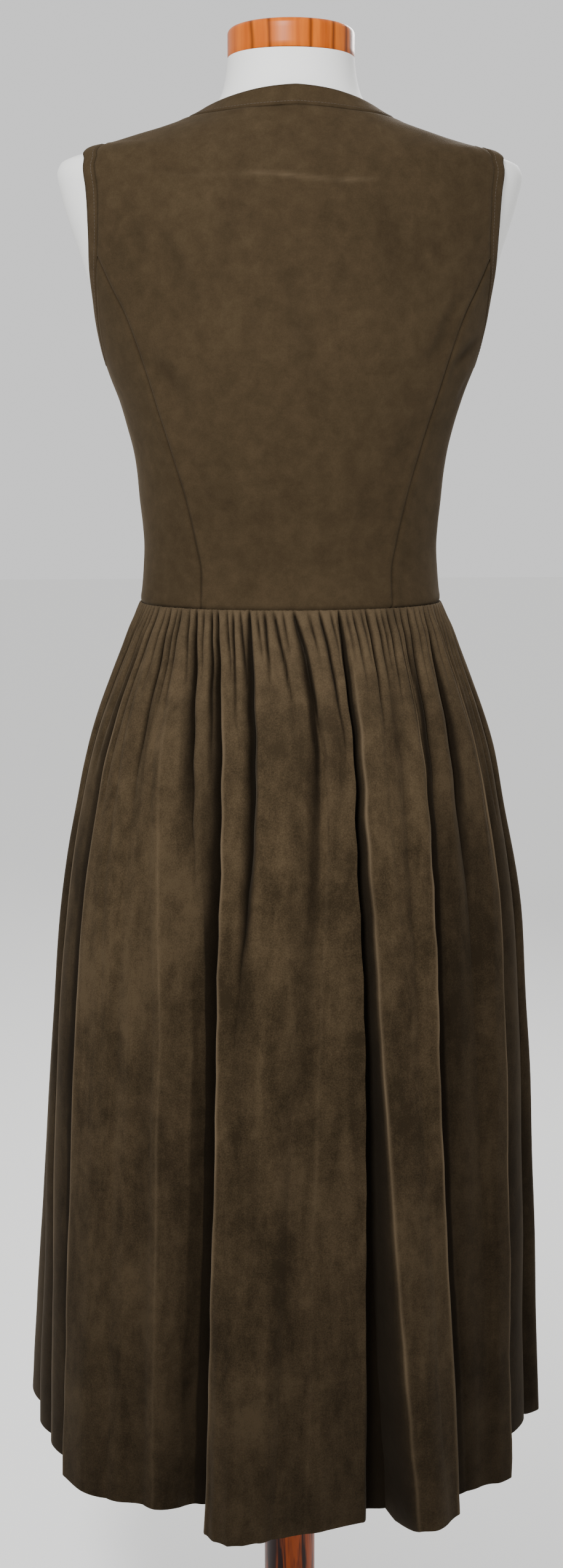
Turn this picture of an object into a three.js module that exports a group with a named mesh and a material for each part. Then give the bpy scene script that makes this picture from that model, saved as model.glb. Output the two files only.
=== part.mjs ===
// Sleeveless dirndl on a limbless dress form with a round wooden stand.
// Millimetres, +Z up. The origin is on the floor under the pole, the garment faces -Y, and the
// wearer's left side is +X. A turn is an angle round the pole in degrees: 0 is the centre front,
// 90 the left side, 180 the centre back and 270 the right side.
import * as THREE from 'three';

// Driving dimensions
const WAIST_HEIGHT = 1060;
const HEM_HEIGHT = 337;
const SEAM_GAP = 0.3;
const HALF_GAP = SEAM_GAP / 2;
const SLANT_SHARE = 1.3;
const BODY_EASE = 2.3;
const BODICE_CLOTH = 1.5;
const BAND_CLOTH = 1.9;
const SKIRT_CLOTH = 1.5;
const NECK_BAND_WIDTH = 18;
const ARMHOLE_BAND_WIDTH = 10;
const BODY_SQUARENESS = 2.2;
const FORM_BOTTOM = 862;
const NECK_TOP = 1490;
const CAP_RADIUS = 50.5;
const CAP_HEIGHT = 22;
const POLE_RADIUS = 23;
const BASE_RADIUS = 168;
const BASE_THICKNESS = 24;

// How finely the pieces are divided
const FORM_COLUMNS = 28;
const BACK_COLUMNS = 16;
const FRONT_COLUMNS = 7;
const SIDE_COLUMNS = 6;
const HALF_GATHER_TURN = 2;
const END_CROWDING = 0.07;

// Colours and finishes
const CLOTH_FINISH = { color: '#4a3b28', roughness: 0.92, metalness: 0 };
const FORM_FINISH = { color: '#dcdcd8', roughness: 0.5, metalness: 0 };
const CAP_FINISH = { color: '#c9762f', roughness: 0.3, metalness: 0 };
const STAND_FINISH = { color: '#7c3a1c', roughness: 0.3, metalness: 0 };

// Level rings of the dress form: half width, depth in front of the axis and depth behind it
const FORM_RINGS = [
  { height: 862, side: 126, front: 90, back: 96 },
  { height: 866, side: 142, front: 104, back: 110 },
  { height: 880, side: 156, front: 116, back: 122 },
  { height: 905, side: 162, front: 121, back: 129 },
  { height: 930, side: 160, front: 119, back: 128 },
  { height: 960, side: 153, front: 113, back: 122 },
  { height: 990, side: 142, front: 104, back: 112 },
  { height: 1020, side: 130, front: 95, back: 101 },
  { height: 1045, side: 123, front: 89.5, back: 94 },
  { height: 1063, side: 121, front: 88, back: 91 },
  { height: 1085, side: 118.5, front: 87, back: 87 },
  { height: 1105, side: 117.5, front: 88, back: 86 },
  { height: 1125, side: 118.5, front: 90, back: 86.5 },
  { height: 1145, side: 120.5, front: 93, back: 88 },
  { height: 1165, side: 122.5, front: 98, back: 89.5 },
  { height: 1185, side: 125.5, front: 105, back: 91 },
  { height: 1205, side: 130.5, front: 113, back: 93 },
  { height: 1225, side: 136.5, front: 121, back: 94.5 },
  { height: 1245, side: 144, front: 126, back: 96 },
  { height: 1265, side: 150.5, front: 127, back: 97 },
  { height: 1285, side: 155.5, front: 123, back: 97.5 },
  { height: 1305, side: 160, front: 115, back: 97.5 },
  { height: 1325, side: 166, front: 106, back: 97 },
  { height: 1345, side: 172, front: 98, back: 95.5 },
  { height: 1365, side: 178.5, front: 90, back: 93 },
  { height: 1385, side: 184, front: 82, back: 89 },
  { height: 1400, side: 187, front: 76, back: 85 },
  { height: 1408, side: 184, front: 72, back: 82 },
  { height: 1412, side: 176, front: 70, back: 80 },
  { height: 1414.5, side: 166, front: 69, back: 79 },
  { height: 1417, side: 154, front: 67, back: 77.5 },
  { height: 1421, side: 139, front: 65, back: 75.5 },
  { height: 1426, side: 122, front: 62, back: 73 },
  { height: 1431, side: 105, front: 60, back: 70.5 },
  { height: 1436, side: 90, front: 57.5, back: 67.5 },
  { height: 1441, side: 79, front: 56, back: 65 },
  { height: 1448, side: 67, front: 54, back: 61 },
  { height: 1456, side: 59, front: 52.5, back: 57.5 },
  { height: 1466, side: 54.5, front: 51.5, back: 54 },
  { height: 1480, side: 51.5, front: 51, back: 51.5 },
  { height: 1490, side: 50.5, front: 50.5, back: 50.5 },
];

// Seam between the panels and the neck band: level round the nape, a rounded V in front
const NECK_SEAM = [
  { turn: 0, height: 1336 },
  { turn: 5, height: 1340.5 },
  { turn: 11, height: 1352.5 },
  { turn: 16, height: 1370 },
  { turn: 20, height: 1390 },
  { turn: 23.8, height: 1407 },
  { turn: 29.5, height: 1416.5 },
  { turn: 37, height: 1423.8 },
  { turn: 55, height: 1433 },
  { turn: 75, height: 1437.5 },
  { turn: 90, height: 1439 },
  { turn: 125, height: 1439.5 },
  { turn: 145, height: 1440.5 },
  { turn: 160, height: 1442 },
  { turn: 180, height: 1444 },
];

// Seam between the panels and the armhole band: how far behind and before the side line it lies
const ARMHOLE_SEAM = [
  { height: 1251.5, behind: 0, before: 0 },
  { height: 1254, behind: 9, before: 15 },
  { height: 1260, behind: 14.5, before: 27 },
  { height: 1270, behind: 19, before: 38 },
  { height: 1285, behind: 25, before: 46 },
  { height: 1307, behind: 34, before: 52 },
  { height: 1334, behind: 46, before: 55.5 },
  { height: 1360, behind: 53, before: 56 },
  { height: 1383, behind: 54.5, before: 53 },
  { height: 1399, behind: 52.5, before: 48.5 },
  { height: 1407, behind: 50.6, before: 45 },
  { height: 1413, behind: 43.3, before: 38.5 },
  { height: 1417.2, behind: 24, before: 21 },
  { height: 1419, behind: 0, before: 0 },
];
const MEETING_ROW = 6;
const TIP_DROP = 2.5;

// Curved seams from the waist up to the armhole: distance from the middle at each height
const BACK_SEAM = [
  { height: 1060, across: 76.5 },
  { height: 1087, across: 76 },
  { height: 1112, across: 80 },
  { height: 1146, across: 87.5 },
  { height: 1185, across: 99 },
  { height: 1216, across: 108.5 },
  { height: 1246, across: 118 },
  { height: 1270, across: 126 },
  { height: 1290, across: 133.5 },
  { height: 1311, across: 144 },
];
const FRONT_SEAM = [
  { height: 1060, across: 66 },
  { height: 1110, across: 68 },
  { height: 1160, across: 74 },
  { height: 1210, across: 82 },
  { height: 1255, across: 91 },
  { height: 1290, across: 105 },
  { height: 1312, across: 122 },
];

// Heights of the bodice's rows of points under the arm and on the shoulder seam
const BODICE_HEIGHTS = [1078, 1100, 1122, 1145, 1168, 1190, 1212, 1232];
const SHOULDER_SEAM_HEIGHTS = [1422, 1428, 1434];
const FRONT_NECK_TURNS = [4.5, 8.5, 12, 15.5, 18.5, 22, 26, 31, 37.5, 44.5];
const FRONT_CORNER_TURN = 52;

// Level rings of the skirt before its folds; a ring is rounder where its squareness is nearer 2
const SKIRT_RINGS = [
  { height: 337, side: 224, front: 212, back: 213, square: 2 },
  { height: 430, side: 219, front: 209, back: 211, square: 2 },
  { height: 520, side: 214, front: 205, back: 208, square: 2 },
  { height: 630, side: 208, front: 197, back: 203, square: 2 },
  { height: 720, side: 202, front: 188, back: 196, square: 2 },
  { height: 790, side: 196, front: 178, back: 188, square: 2 },
  { height: 850, side: 188, front: 167, back: 177, square: 2 },
  { height: 900, side: 178, front: 155, back: 165, square: 2.03 },
  { height: 940, side: 169, front: 144, back: 154, square: 2.08 },
  { height: 970, side: 160, front: 135, back: 145, square: 2.12 },
  { height: 1000, side: 149, front: 123, back: 132, square: 2.16 },
  { height: 1020, side: 141, front: 114, back: 122, square: 2.18 },
  { height: 1040, side: 133.5, front: 103.5, back: 109, square: 2.2 },
  { height: 1050, side: 129, front: 97.5, back: 101.5, square: 2.2 },
  { height: 1060, side: 125.7, front: 92.7, back: 95.7, square: 2.2 },
];

// Main folds of the skirt's back from its left side seam to its right one. Each row is a ridge (+1)
// or a valley (-1) with its turn at four heights and how far it stands out from the ring at three.
const FOLD_HEIGHTS = { seam: 1060, hip: 940, knee: 720, hem: 337 };
const BACK_FOLDS = [
  { kind: -1, seam: 90, hip: 90, knee: 90, hem: 90, outHip: -1, outKnee: -2, outHem: -4 },
  { kind: 1, seam: 97, hip: 95, knee: 95.5, hem: 98.5, outHip: 2, outKnee: 3, outHem: 3 },
  { kind: -1, seam: 110, hip: 104, knee: 108, hem: 115, outHip: -4, outKnee: -5, outHem: -8 },
  { kind: 1, seam: 121, hip: 118, knee: 119, hem: 123, outHip: 2, outKnee: 5, outHem: 14 },
  { kind: 1, seam: 125, hip: 123, knee: 126, hem: 129, outHip: 2, outKnee: 4, outHem: 13 },
  { kind: -1, seam: 128, hip: 130, knee: 133, hem: 137, outHip: -3, outKnee: -2, outHem: -6 },
  { kind: 1, seam: 135, hip: 140, knee: 143, hem: 145, outHip: 1, outKnee: 1, outHem: -3 },
  { kind: -1, seam: 143, hip: 149, knee: 151, hem: 152, outHip: -4, outKnee: -8, outHem: -22 },
  { kind: -1, seam: 150.5, hip: 158.5, knee: 157, hem: 156, outHip: -5, outKnee: -14, outHem: -28 },
  { kind: 1, seam: 154, hip: 161.5, knee: 160.5, hem: 159.5, outHip: 4, outKnee: 6, outHem: 12 },
  { kind: -1, seam: 164.5, hip: 167, knee: 164, hem: 164, outHip: -6, outKnee: -1, outHem: 25 },
  { kind: 1, seam: 171, hip: 175, knee: 172, hem: 170, outHip: 3, outKnee: 5, outHem: 17 },
  { kind: -1, seam: 180, hip: 183, knee: 177.5, hem: 175.5, outHip: -6, outKnee: -6, outHem: 4 },
  { kind: 1, seam: 183, hip: 186.5, knee: 183, hem: 181, outHip: 3, outKnee: 4, outHem: 1 },
  { kind: -1, seam: 187, hip: 190, knee: 188, hem: 187, outHip: -1, outKnee: -3, outHem: -9 },
  { kind: -1, seam: 191.5, hip: 193, knee: 193, hem: 193, outHip: -6, outKnee: -14, outHem: -28 },
  { kind: 1, seam: 195, hip: 196.5, knee: 196.5, hem: 198, outHip: 4, outKnee: 4, outHem: -22 },
  { kind: 1, seam: 199.5, hip: 200.5, knee: 200.5, hem: 202.5, outHip: 3, outKnee: 6, outHem: 26 },
  { kind: -1, seam: 208, hip: 206, knee: 205, hem: 206.5, outHip: -1, outKnee: 2, outHem: 26 },
  { kind: 1, seam: 218, hip: 212.5, knee: 210, hem: 210.5, outHip: 2, outKnee: 5, outHem: 19 },
  { kind: -1, seam: 225, hip: 216.5, knee: 214.5, hem: 215.5, outHip: -4, outKnee: -8, outHem: -2 },
  { kind: 1, seam: 234, hip: 224, knee: 221.5, hem: 221.5, outHip: 1, outKnee: 0, outHem: 2 },
  { kind: 1, seam: 250, hip: 238, knee: 231.5, hem: 230, outHip: 2, outKnee: 5, outHem: 10 },
  { kind: -1, seam: 254, hip: 242.5, knee: 236, hem: 236, outHip: -5, outKnee: -11, outHem: -22 },
  { kind: -1, seam: 258, hip: 250, knee: 245, hem: 248, outHip: -3, outKnee: -6, outHem: -24 },
  { kind: 1, seam: 263, hip: 257, knee: 256, hem: 257, outHip: 2, outKnee: 3, outHem: 1 },
  { kind: -1, seam: 270, hip: 270, knee: 270, hem: 270, outHip: -1, outKnee: -2, outHem: -4 },
];

// The skirt's front has regular folds, made a little uneven; the one at the right side is low
const FRONT_FOLD_COUNT = 9;
const FRONT_FOLD = { outHip: 3, outKnee: 6, outHem: 16, valleyHip: -5, valleyKnee: -7, valleyHem: -14 };
const RIGHT_SIDE_FOLD = 0.2;

// Gathers under the waist: how deep they are and how far down they run
const GATHER = { depth: 2.3, uneven: 0.35, shortest: 70, longest: 190 };
const GATHER_START = [
  { below: 0, share: 0.35 },
  { below: 8, share: 0.9 },
  { below: 20, share: 1.1 },
  { below: 45, share: 1.15 },
  { below: 200, share: 1.15 },
];
const GATHERED_HEIGHTS = [1052, 1040, 1020, 995, 965, 930];
const FLOWING_HEIGHTS = [890, 835, 765, 680, 580, 465, HEM_HEIGHT];

const DEGREE = Math.PI / 180;

// A smooth curve through a table's rows that never swings past them
function smoothCurve(rows, inputName, outputName) {
  const inputs = rows.map((row) => row[inputName]);
  const outputs = rows.map((row) => row[outputName]);
  const last = inputs.length - 1;
  const steepness = (i) => (outputs[i + 1] - outputs[i]) / (inputs[i + 1] - inputs[i]);
  const slopes = inputs.map((_, i) => {
    if (i === 0) return steepness(0);
    if (i === last) return steepness(last - 1);
    const before = steepness(i - 1);
    const after = steepness(i);
    return before * after <= 0 ? 0 : (2 * before * after) / (before + after);
  });
  return (input) => {
    const clamped = Math.min(Math.max(input, inputs[0]), inputs[last]);
    let i = 0;
    while (i < last - 1 && clamped > inputs[i + 1]) i += 1;
    const width = inputs[i + 1] - inputs[i];
    const t = (clamped - inputs[i]) / width;
    const rest = 1 - t;
    const fromStart = rest * rest * ((1 + 2 * t) * outputs[i] + t * width * slopes[i]);
    const fromEnd = t * t * ((1 + 2 * rest) * outputs[i + 1] - rest * width * slopes[i + 1]);
    return fromStart + fromEnd;
  };
}

// The body under the bodice
const formSide = smoothCurve(FORM_RINGS, 'height', 'side');
const formFront = smoothCurve(FORM_RINGS, 'height', 'front');
const formBack = smoothCurve(FORM_RINGS, 'height', 'back');

function signedPower(value, power) {
  return Math.sign(value) * Math.abs(value) ** power;
}

function bodyPoint(turn, height) {
  const across = signedPower(Math.sin(turn * DEGREE), 2 / BODY_SQUARENESS);
  const ahead = signedPower(Math.cos(turn * DEGREE), 2 / BODY_SQUARENESS);
  const depth = ahead > 0 ? formFront(height) : formBack(height);
  return new THREE.Vector3(formSide(height) * across, -depth * ahead, height);
}

function bodyNormal(turn, height) {
  const round = bodyPoint(turn + 0.5, height).sub(bodyPoint(turn - 0.5, height));
  const up = bodyPoint(turn, height + 0.5).sub(bodyPoint(turn, height - 0.5));
  return round.cross(up).normalize();
}

// A point of the cloth, moved out from the body
function clothPoint(place, out) {
  return bodyPoint(place.turn, place.height).addScaledVector(bodyNormal(place.turn, place.height), out);
}

// The place on the body that is nearest to a point, found from a place close to it
function nearestPlace(point, start) {
  const place = { ...start };
  for (let pass = 0; pass < 4; pass += 1) {
    const away = point.clone().sub(bodyPoint(place.turn, place.height));
    const round = bodyPoint(place.turn + 0.5, place.height).sub(bodyPoint(place.turn - 0.5, place.height));
    const up = bodyPoint(place.turn, place.height + 0.5).sub(bodyPoint(place.turn, place.height - 0.5));
    const size = round.lengthSq() * up.lengthSq() - round.dot(up) ** 2;
    place.turn += (away.dot(round) * up.lengthSq() - away.dot(up) * round.dot(up)) / size;
    place.height += (away.dot(up) * round.lengthSq() - away.dot(round) * round.dot(up)) / size;
  }
  return place;
}

// A line of places beside another one, on its right as seen from outside, at an even distance
function alongside(line, distance, closed) {
  const count = line.length;
  return line.map((place, i) => {
    const before = line[closed ? (i + count - 1) % count : Math.max(i - 1, 0)];
    const after = line[closed ? (i + 1) % count : Math.min(i + 1, count - 1)];
    const along = bodyPoint(after.turn, after.height).sub(bodyPoint(before.turn, before.height));
    const sideways = along.cross(bodyNormal(place.turn, place.height)).normalize();
    return nearestPlace(bodyPoint(place.turn, place.height).addScaledVector(sideways, distance), place);
  });
}

// A small distance along the level ring, as a turn
function turnStep(turn, height, distance) {
  const perDegree = bodyPoint(turn + 0.5, height).distanceTo(bodyPoint(turn - 0.5, height));
  return distance / perDegree;
}

// Triangles between two rows of points whose stations along the row are given
function bridge(lower, upper, lowerStations, upperStations, flip, faces) {
  let i = 0;
  let j = 0;
  while (i < lower.length - 1 || j < upper.length - 1) {
    const nextLower = i < lower.length - 1 ? lowerStations[i + 1] : Infinity;
    const nextUpper = j < upper.length - 1 ? upperStations[j + 1] : Infinity;
    const alongLower = nextLower <= nextUpper;
    const face = [lower[i], alongLower ? lower[i + 1] : upper[j + 1], upper[j]];
    faces.push(flip ? face.reverse() : face);
    if (alongLower) i += 1;
    else j += 1;
  }
}

// A closed wall of cloth from rows of outer and inner points; a closed wall joins each row's ends
function wallGeometry(rows, closed = false) {
  const positions = [];
  const faces = [];
  const store = (points) => points.map((point) => positions.push(point.x, point.y, point.z) / 3 - 1);
  const sheets = rows.map((row) => {
    const outer = store(row.outer);
    const inner = store(row.inner);
    const stations = row.stations ?? row.outer.map((_, i) => i);
    if (!closed) return { outer, inner, stations };
    const joined = [...stations, stations.length];
    return { outer: [...outer, outer[0]], inner: [...inner, inner[0]], stations: joined };
  });
  for (let r = 0; r < sheets.length - 1; r += 1) {
    const low = sheets[r];
    const high = sheets[r + 1];
    bridge(low.outer, high.outer, low.stations, high.stations, false, faces);
    bridge(low.inner, high.inner, low.stations, high.stations, true, faces);
  }
  const bottom = sheets[0];
  const top = sheets[sheets.length - 1];
  bridge(bottom.outer, bottom.inner, bottom.stations, bottom.stations, true, faces);
  bridge(top.outer, top.inner, top.stations, top.stations, false, faces);
  if (!closed) {
    const levels = sheets.map((_, i) => i);
    const end = (name, pick) => sheets.map((sheet) => sheet[name][pick(sheet[name])]);
    const first = () => 0;
    const final = (points) => points.length - 1;
    bridge(end('outer', first), end('inner', first), levels, levels, false, faces);
    bridge(end('outer', final), end('inner', final), levels, levels, true, faces);
  }
  return facingOut(positions, faces);
}

// A closed mesh whose faces point outwards
function facingOut(positions, faces) {
  const corner = (i) => new THREE.Vector3(positions[3 * i], positions[3 * i + 1], positions[3 * i + 2]);
  const volume = faces.reduce((sum, [a, b, c]) => sum + corner(a).dot(corner(b).cross(corner(c))), 0);
  const geometry = new THREE.BufferGeometry();
  geometry.setAttribute('position', new THREE.Float32BufferAttribute(positions, 3));
  geometry.setIndex(faces.flatMap((face) => (volume < 0 ? [face[0], face[2], face[1]] : face)));
  geometry.computeVertexNormals();
  return geometry;
}

// A piece of cloth on the body, from rows of places
function clothOnBody(rowsOfPlaces, cloth, closed = false) {
  const rows = rowsOfPlaces.map((places) => ({
    outer: places.map((place) => clothPoint(place, BODY_EASE + cloth)),
    inner: places.map((place) => clothPoint(place, BODY_EASE)),
  }));
  return wallGeometry(rows, closed);
}

function mirrored(rowsOfPlaces) {
  return rowsOfPlaces.map((places) => places.map(({ turn, height }) => ({ turn: 360 - turn, height })));
}

// Places from one place to another, closer together near both ends
function between(from, to, columns) {
  return Array.from({ length: columns + 1 }, (_, i) => {
    const share = i / columns - END_CROWDING * Math.sin((2 * Math.PI * i) / columns);
    return {
      turn: from.turn + (to.turn - from.turn) * share,
      height: from.height + (to.height - from.height) * share,
    };
  });
}

// Lines on the left half of the bodice
const neckSeamHeight = smoothCurve(NECK_SEAM, 'turn', 'height');
const onNeckSeam = (turn) => ({ turn, height: neckSeamHeight(Math.min(turn, 360 - turn)) });

// A place beside a seam, by half a gap along a level ring; the share allows for the seam's slant
function besideSeam(turn, height, sign) {
  return { turn: turn + sign * turnStep(turn, height, HALF_GAP * SLANT_SHARE), height };
}

function armholePlaces(side) {
  return ARMHOLE_SEAM.map((row) => {
    const depth = side === 'behind' ? formBack(row.height) : formFront(row.height);
    const sway = Math.asin((row[side] / depth) ** (BODY_SQUARENESS / 2)) / DEGREE;
    return { turn: side === 'behind' ? 90 + sway : 90 - sway, height: row.height };
  });
}

const armhole = { behind: armholePlaces('behind'), before: armholePlaces('before') };
const armholeLoop = [...armhole.behind, ...armhole.before.slice(1, -1).reverse()];
const underarmHeight = ARMHOLE_SEAM[0].height;
const meetingHeight = ARMHOLE_SEAM[MEETING_ROW].height;
const tipHeight = meetingHeight - TIP_DROP;

// The turn of a curved seam at a height; it ends at the armhole's meeting place
function curvedSeam(rows, side) {
  const meeting = armhole[side][MEETING_ROW];
  const end = { height: meeting.height, across: clothPoint(meeting, BODY_EASE).x };
  const across = smoothCurve([...rows, end], 'height', 'across');
  return (height) => {
    const sine = (across(height) / (formSide(height) + BODY_EASE)) ** (BODY_SQUARENESS / 2);
    const turn = Math.asin(sine) / DEGREE;
    return side === 'behind' ? 180 - turn : turn;
  };
}

const seamTurn = { behind: curvedSeam(BACK_SEAM, 'behind'), before: curvedSeam(FRONT_SEAM, 'before') };

// Heights of the rows along a curved seam, shared by the panels on its two sides
const armholeSteps = Array.from({ length: MEETING_ROW + 1 }, (_, i) => {
  return underarmHeight + ((tipHeight - underarmHeight) * i) / MEETING_ROW;
});
const curvedSeamHeights = [WAIST_HEIGHT + HALF_GAP, ...BODICE_HEIGHTS, ...armholeSteps];

// The outer edge of a middle panel: its curved seam, then the armhole, then the shoulder seam
function middlePanelEdge(side) {
  const sign = side === 'behind' ? 1 : -1;
  const curved = curvedSeamHeights.map((height) => besideSeam(seamTurn[side](height), height, sign));
  const upper = armhole[side].slice(MEETING_ROW, -1);
  const shoulderEnd = ARMHOLE_SEAM[ARMHOLE_SEAM.length - 1].height;
  const shoulder = [shoulderEnd, ...SHOULDER_SEAM_HEIGHTS, neckSeamHeight(90)];
  return [...curved, ...upper, ...shoulder.map((height) => besideSeam(90, height, sign))];
}

// Rows above the meeting rise towards the centre back, and the top one lies on the neck seam
function backPanel() {
  const edge = middlePanelEdge('behind');
  const meeting = curvedSeamHeights.length;
  return edge.map((place, row) => {
    const across = between(place, { turn: 360 - place.turn, height: place.height }, BACK_COLUMNS);
    if (row === edge.length - 1) return across.map(({ turn }) => onNeckSeam(turn));
    if (row <= meeting) return across;
    const share = (row - meeting) / (edge.length - 1 - meeting);
    const centre = meetingHeight + share * (neckSeamHeight(180) - meetingHeight);
    return across.map(({ turn }) => {
      const aside = Math.abs((turn - 180) / (place.turn - 180));
      return { turn, height: centre + aside * aside * (3 - 2 * aside) * (place.height - centre) };
    });
  });
}

// The front panel runs up the centre front, then along the neckline to the shoulder
function frontPanel() {
  const edge = middlePanelEdge('before');
  const centreFront = [...curvedSeamHeights, neckSeamHeight(0)].map((height) => besideSeam(0, height, 1));
  const inner = [...centreFront, ...FRONT_NECK_TURNS.map(onNeckSeam), onNeckSeam(FRONT_CORNER_TURN)];
  return edge.map((place, row) => {
    const start = inner[row];
    const across = between(start, place, FRONT_COLUMNS);
    if (row === edge.length - 1) return across.map(({ turn }) => onNeckSeam(turn));
    return across.map(({ turn }) => {
      const rest = (place.turn - turn) / (place.turn - start.turn);
      return { turn, height: place.height + rest * rest * (start.height - place.height) };
    });
  });
}

// A side panel lies between a curved seam and the side seam, and above the underarm the armhole
function sidePanel(side) {
  const sign = side === 'behind' ? 1 : -1;
  const rows = armhole[side].slice(0, MEETING_ROW);
  const meeting = armhole[side][MEETING_ROW];
  const last = rows[MEETING_ROW - 1];
  const share = (tipHeight - last.height) / (meetingHeight - last.height);
  const tip = { turn: last.turn + share * (meeting.turn - last.turn), height: tipHeight };
  const underArm = [WAIST_HEIGHT + HALF_GAP, ...BODICE_HEIGHTS, underarmHeight];
  const outer = [...underArm.map((height) => besideSeam(90, height, sign)), ...rows.slice(1), tip];
  return curvedSeamHeights.map((height, row) => {
    return between(besideSeam(seamTurn[side](height), height, -sign), outer[row], SIDE_COLUMNS);
  });
}

// The bands follow the panels' own edges
function neckBand() {
  const front = frontPanel();
  const back = backPanel();
  const neckline = front.slice(curvedSeamHeights.length).map((row) => row[0]);
  const frontTop = front[front.length - 1].slice(1, -1);
  const halfBack = back[back.length - 1].slice(1, BACK_COLUMNS / 2);
  const half = [...neckline, ...frontTop, onNeckSeam(90), ...halfBack];
  const seam = [...half, onNeckSeam(180), ...mirrored([half])[0].reverse()];
  return [0, 0.5, 1].map((share) => {
    const line = alongside(seam, -(SEAM_GAP + share * NECK_BAND_WIDTH), false);
    line[0].turn = neckline[0].turn;
    line[line.length - 1].turn = 360 - neckline[0].turn;
    return line;
  });
}

function armholeBand() {
  return [0, 1].map((share) => alongside(armholeLoop, -(SEAM_GAP + share * ARMHOLE_BAND_WIDTH), true));
}

// Skirt
const skirtSide = smoothCurve(SKIRT_RINGS, 'height', 'side');
const skirtFront = smoothCurve(SKIRT_RINGS, 'height', 'front');
const skirtBack = smoothCurve(SKIRT_RINGS, 'height', 'back');
const skirtSquareness = smoothCurve(SKIRT_RINGS, 'height', 'square');
const gatherShare = smoothCurve(GATHER_START, 'below', 'share');

function frontFolds() {
  const pitch = 180 / FRONT_FOLD_COUNT;
  const rows = [{ ...BACK_FOLDS[BACK_FOLDS.length - 1] }];
  for (let i = 0; i < FRONT_FOLD_COUNT; i += 1) {
    const ridge = 270 + pitch * (i + 0.4) + 2.5 * Math.sin(2.4 * i);
    const valley = ridge + pitch * (0.42 + 0.1 * Math.sin(1.7 * i + 1));
    const swell = i === 0 ? RIGHT_SIDE_FOLD : 1 + 0.35 * Math.sin(1.9 * i + 0.6);
    const { outHip, outKnee, outHem, valleyHip, valleyKnee, valleyHem } = FRONT_FOLD;
    const drift = 2 * Math.sin(3.1 * i);
    rows.push({
      kind: 1, seam: ridge - drift, hip: ridge, knee: ridge + drift / 2, hem: ridge + drift,
      outHip: outHip * swell, outKnee: outKnee * swell, outHem: outHem * swell,
    });
    if (i === FRONT_FOLD_COUNT - 1) break;
    rows.push({
      kind: -1, seam: valley - drift, hip: valley, knee: valley + drift / 2, hem: valley + drift,
      outHip: valleyHip * swell, outKnee: valleyKnee * swell, outHem: valleyHem * swell,
    });
  }
  const left = BACK_FOLDS[0];
  rows.push({ ...left, seam: 450, hip: 450, knee: 450, hem: 450 });
  return rows;
}

// A value that a fold row gives at four heights, at any height between them
function foldValue(row, names, height) {
  const rows = ['hem', 'knee', 'hip', 'seam'].map((level, i) => ({
    height: FOLD_HEIGHTS[level],
    value: names[i] ? row[names[i]] : 0,
  }));
  return smoothCurve(rows, 'height', 'value')(height);
}

// Columns of the skirt: the fold rows with half gathers spread between them
function skirtColumns(folds) {
  const columns = [];
  for (let i = 0; i < folds.length - 1; i += 1) {
    const wanted = (folds[i + 1].seam - folds[i].seam) / HALF_GATHER_TURN;
    const odd = folds[i].kind !== folds[i + 1].kind ? 1 : 0;
    const steps = Math.max(2 - odd, 2 * Math.round((wanted - odd) / 2) + odd);
    for (let step = 0; step < steps; step += 1) {
      const kind = step % 2 === 0 ? folds[i].kind : -folds[i].kind;
      columns.push({ fold: i, share: step / steps, kind, kept: step % 2 === 0 && steps - step > 1 });
    }
  }
  columns.push({ fold: folds.length - 2, share: 1, kind: folds[folds.length - 1].kind, kept: true });
  return columns;
}

function skirtOuterPoint(folds, column, number, height) {
  const from = folds[column.fold];
  const to = folds[column.fold + 1];
  const turnNames = ['hem', 'knee', 'hip', 'seam'];
  const outNames = ['outHem', 'outKnee', 'outHip', null];
  const startTurn = foldValue(from, turnNames, height);
  const turn = startTurn + column.share * (foldValue(to, turnNames, height) - startTurn);
  const ease = column.share * column.share * (3 - 2 * column.share);
  const startOut = foldValue(from, outNames, height);
  const foldOut = startOut + ease * (foldValue(to, outNames, height) - startOut);
  const below = WAIST_HEIGHT - height;
  const wobble = 0.5 + 0.5 * Math.sin(2.1 * number + Math.sin(0.7 * number));
  const reach = GATHER.shortest + (GATHER.longest - GATHER.shortest) * wobble;
  const fade = Math.max(0, 1 - below / reach);
  const uneven = 1 + GATHER.uneven * Math.sin(5.3 * number + 1);
  const gather = column.kind * GATHER.depth * uneven * gatherShare(below) * fade;
  const out = foldOut + gather;
  const across = Math.sin(turn * DEGREE);
  const ahead = Math.cos(turn * DEGREE);
  const depth = ahead > 0 ? skirtFront(height) : skirtBack(height);
  const power = 2 / skirtSquareness(height);
  const x = skirtSide(height) * signedPower(across, power) + out * across;
  const y = -depth * signedPower(ahead, power) - out * ahead;
  return new THREE.Vector3(x, y, height);
}

// The inner face follows the outer one at the cloth's thickness, level by level
function insetRow(points, cloth) {
  const last = points.length - 1;
  return points.map((point, i) => {
    const away = new THREE.Vector2(point.x, point.y).normalize();
    const inwards = new THREE.Vector3(-away.x, -away.y, 0);
    if (i === 0 || i === last) return inwards.multiplyScalar(cloth).add(point);
    const before = new THREE.Vector2(point.x - points[i - 1].x, point.y - points[i - 1].y).normalize();
    const after = new THREE.Vector2(points[i + 1].x - point.x, points[i + 1].y - point.y).normalize();
    const along = before.clone().add(after).normalize();
    const corner = Math.max(along.dot(after), 0.62);
    const inward = new THREE.Vector3(-along.y, along.x, 0).multiplyScalar(cloth / corner);
    return inward.add(point);
  });
}

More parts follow.
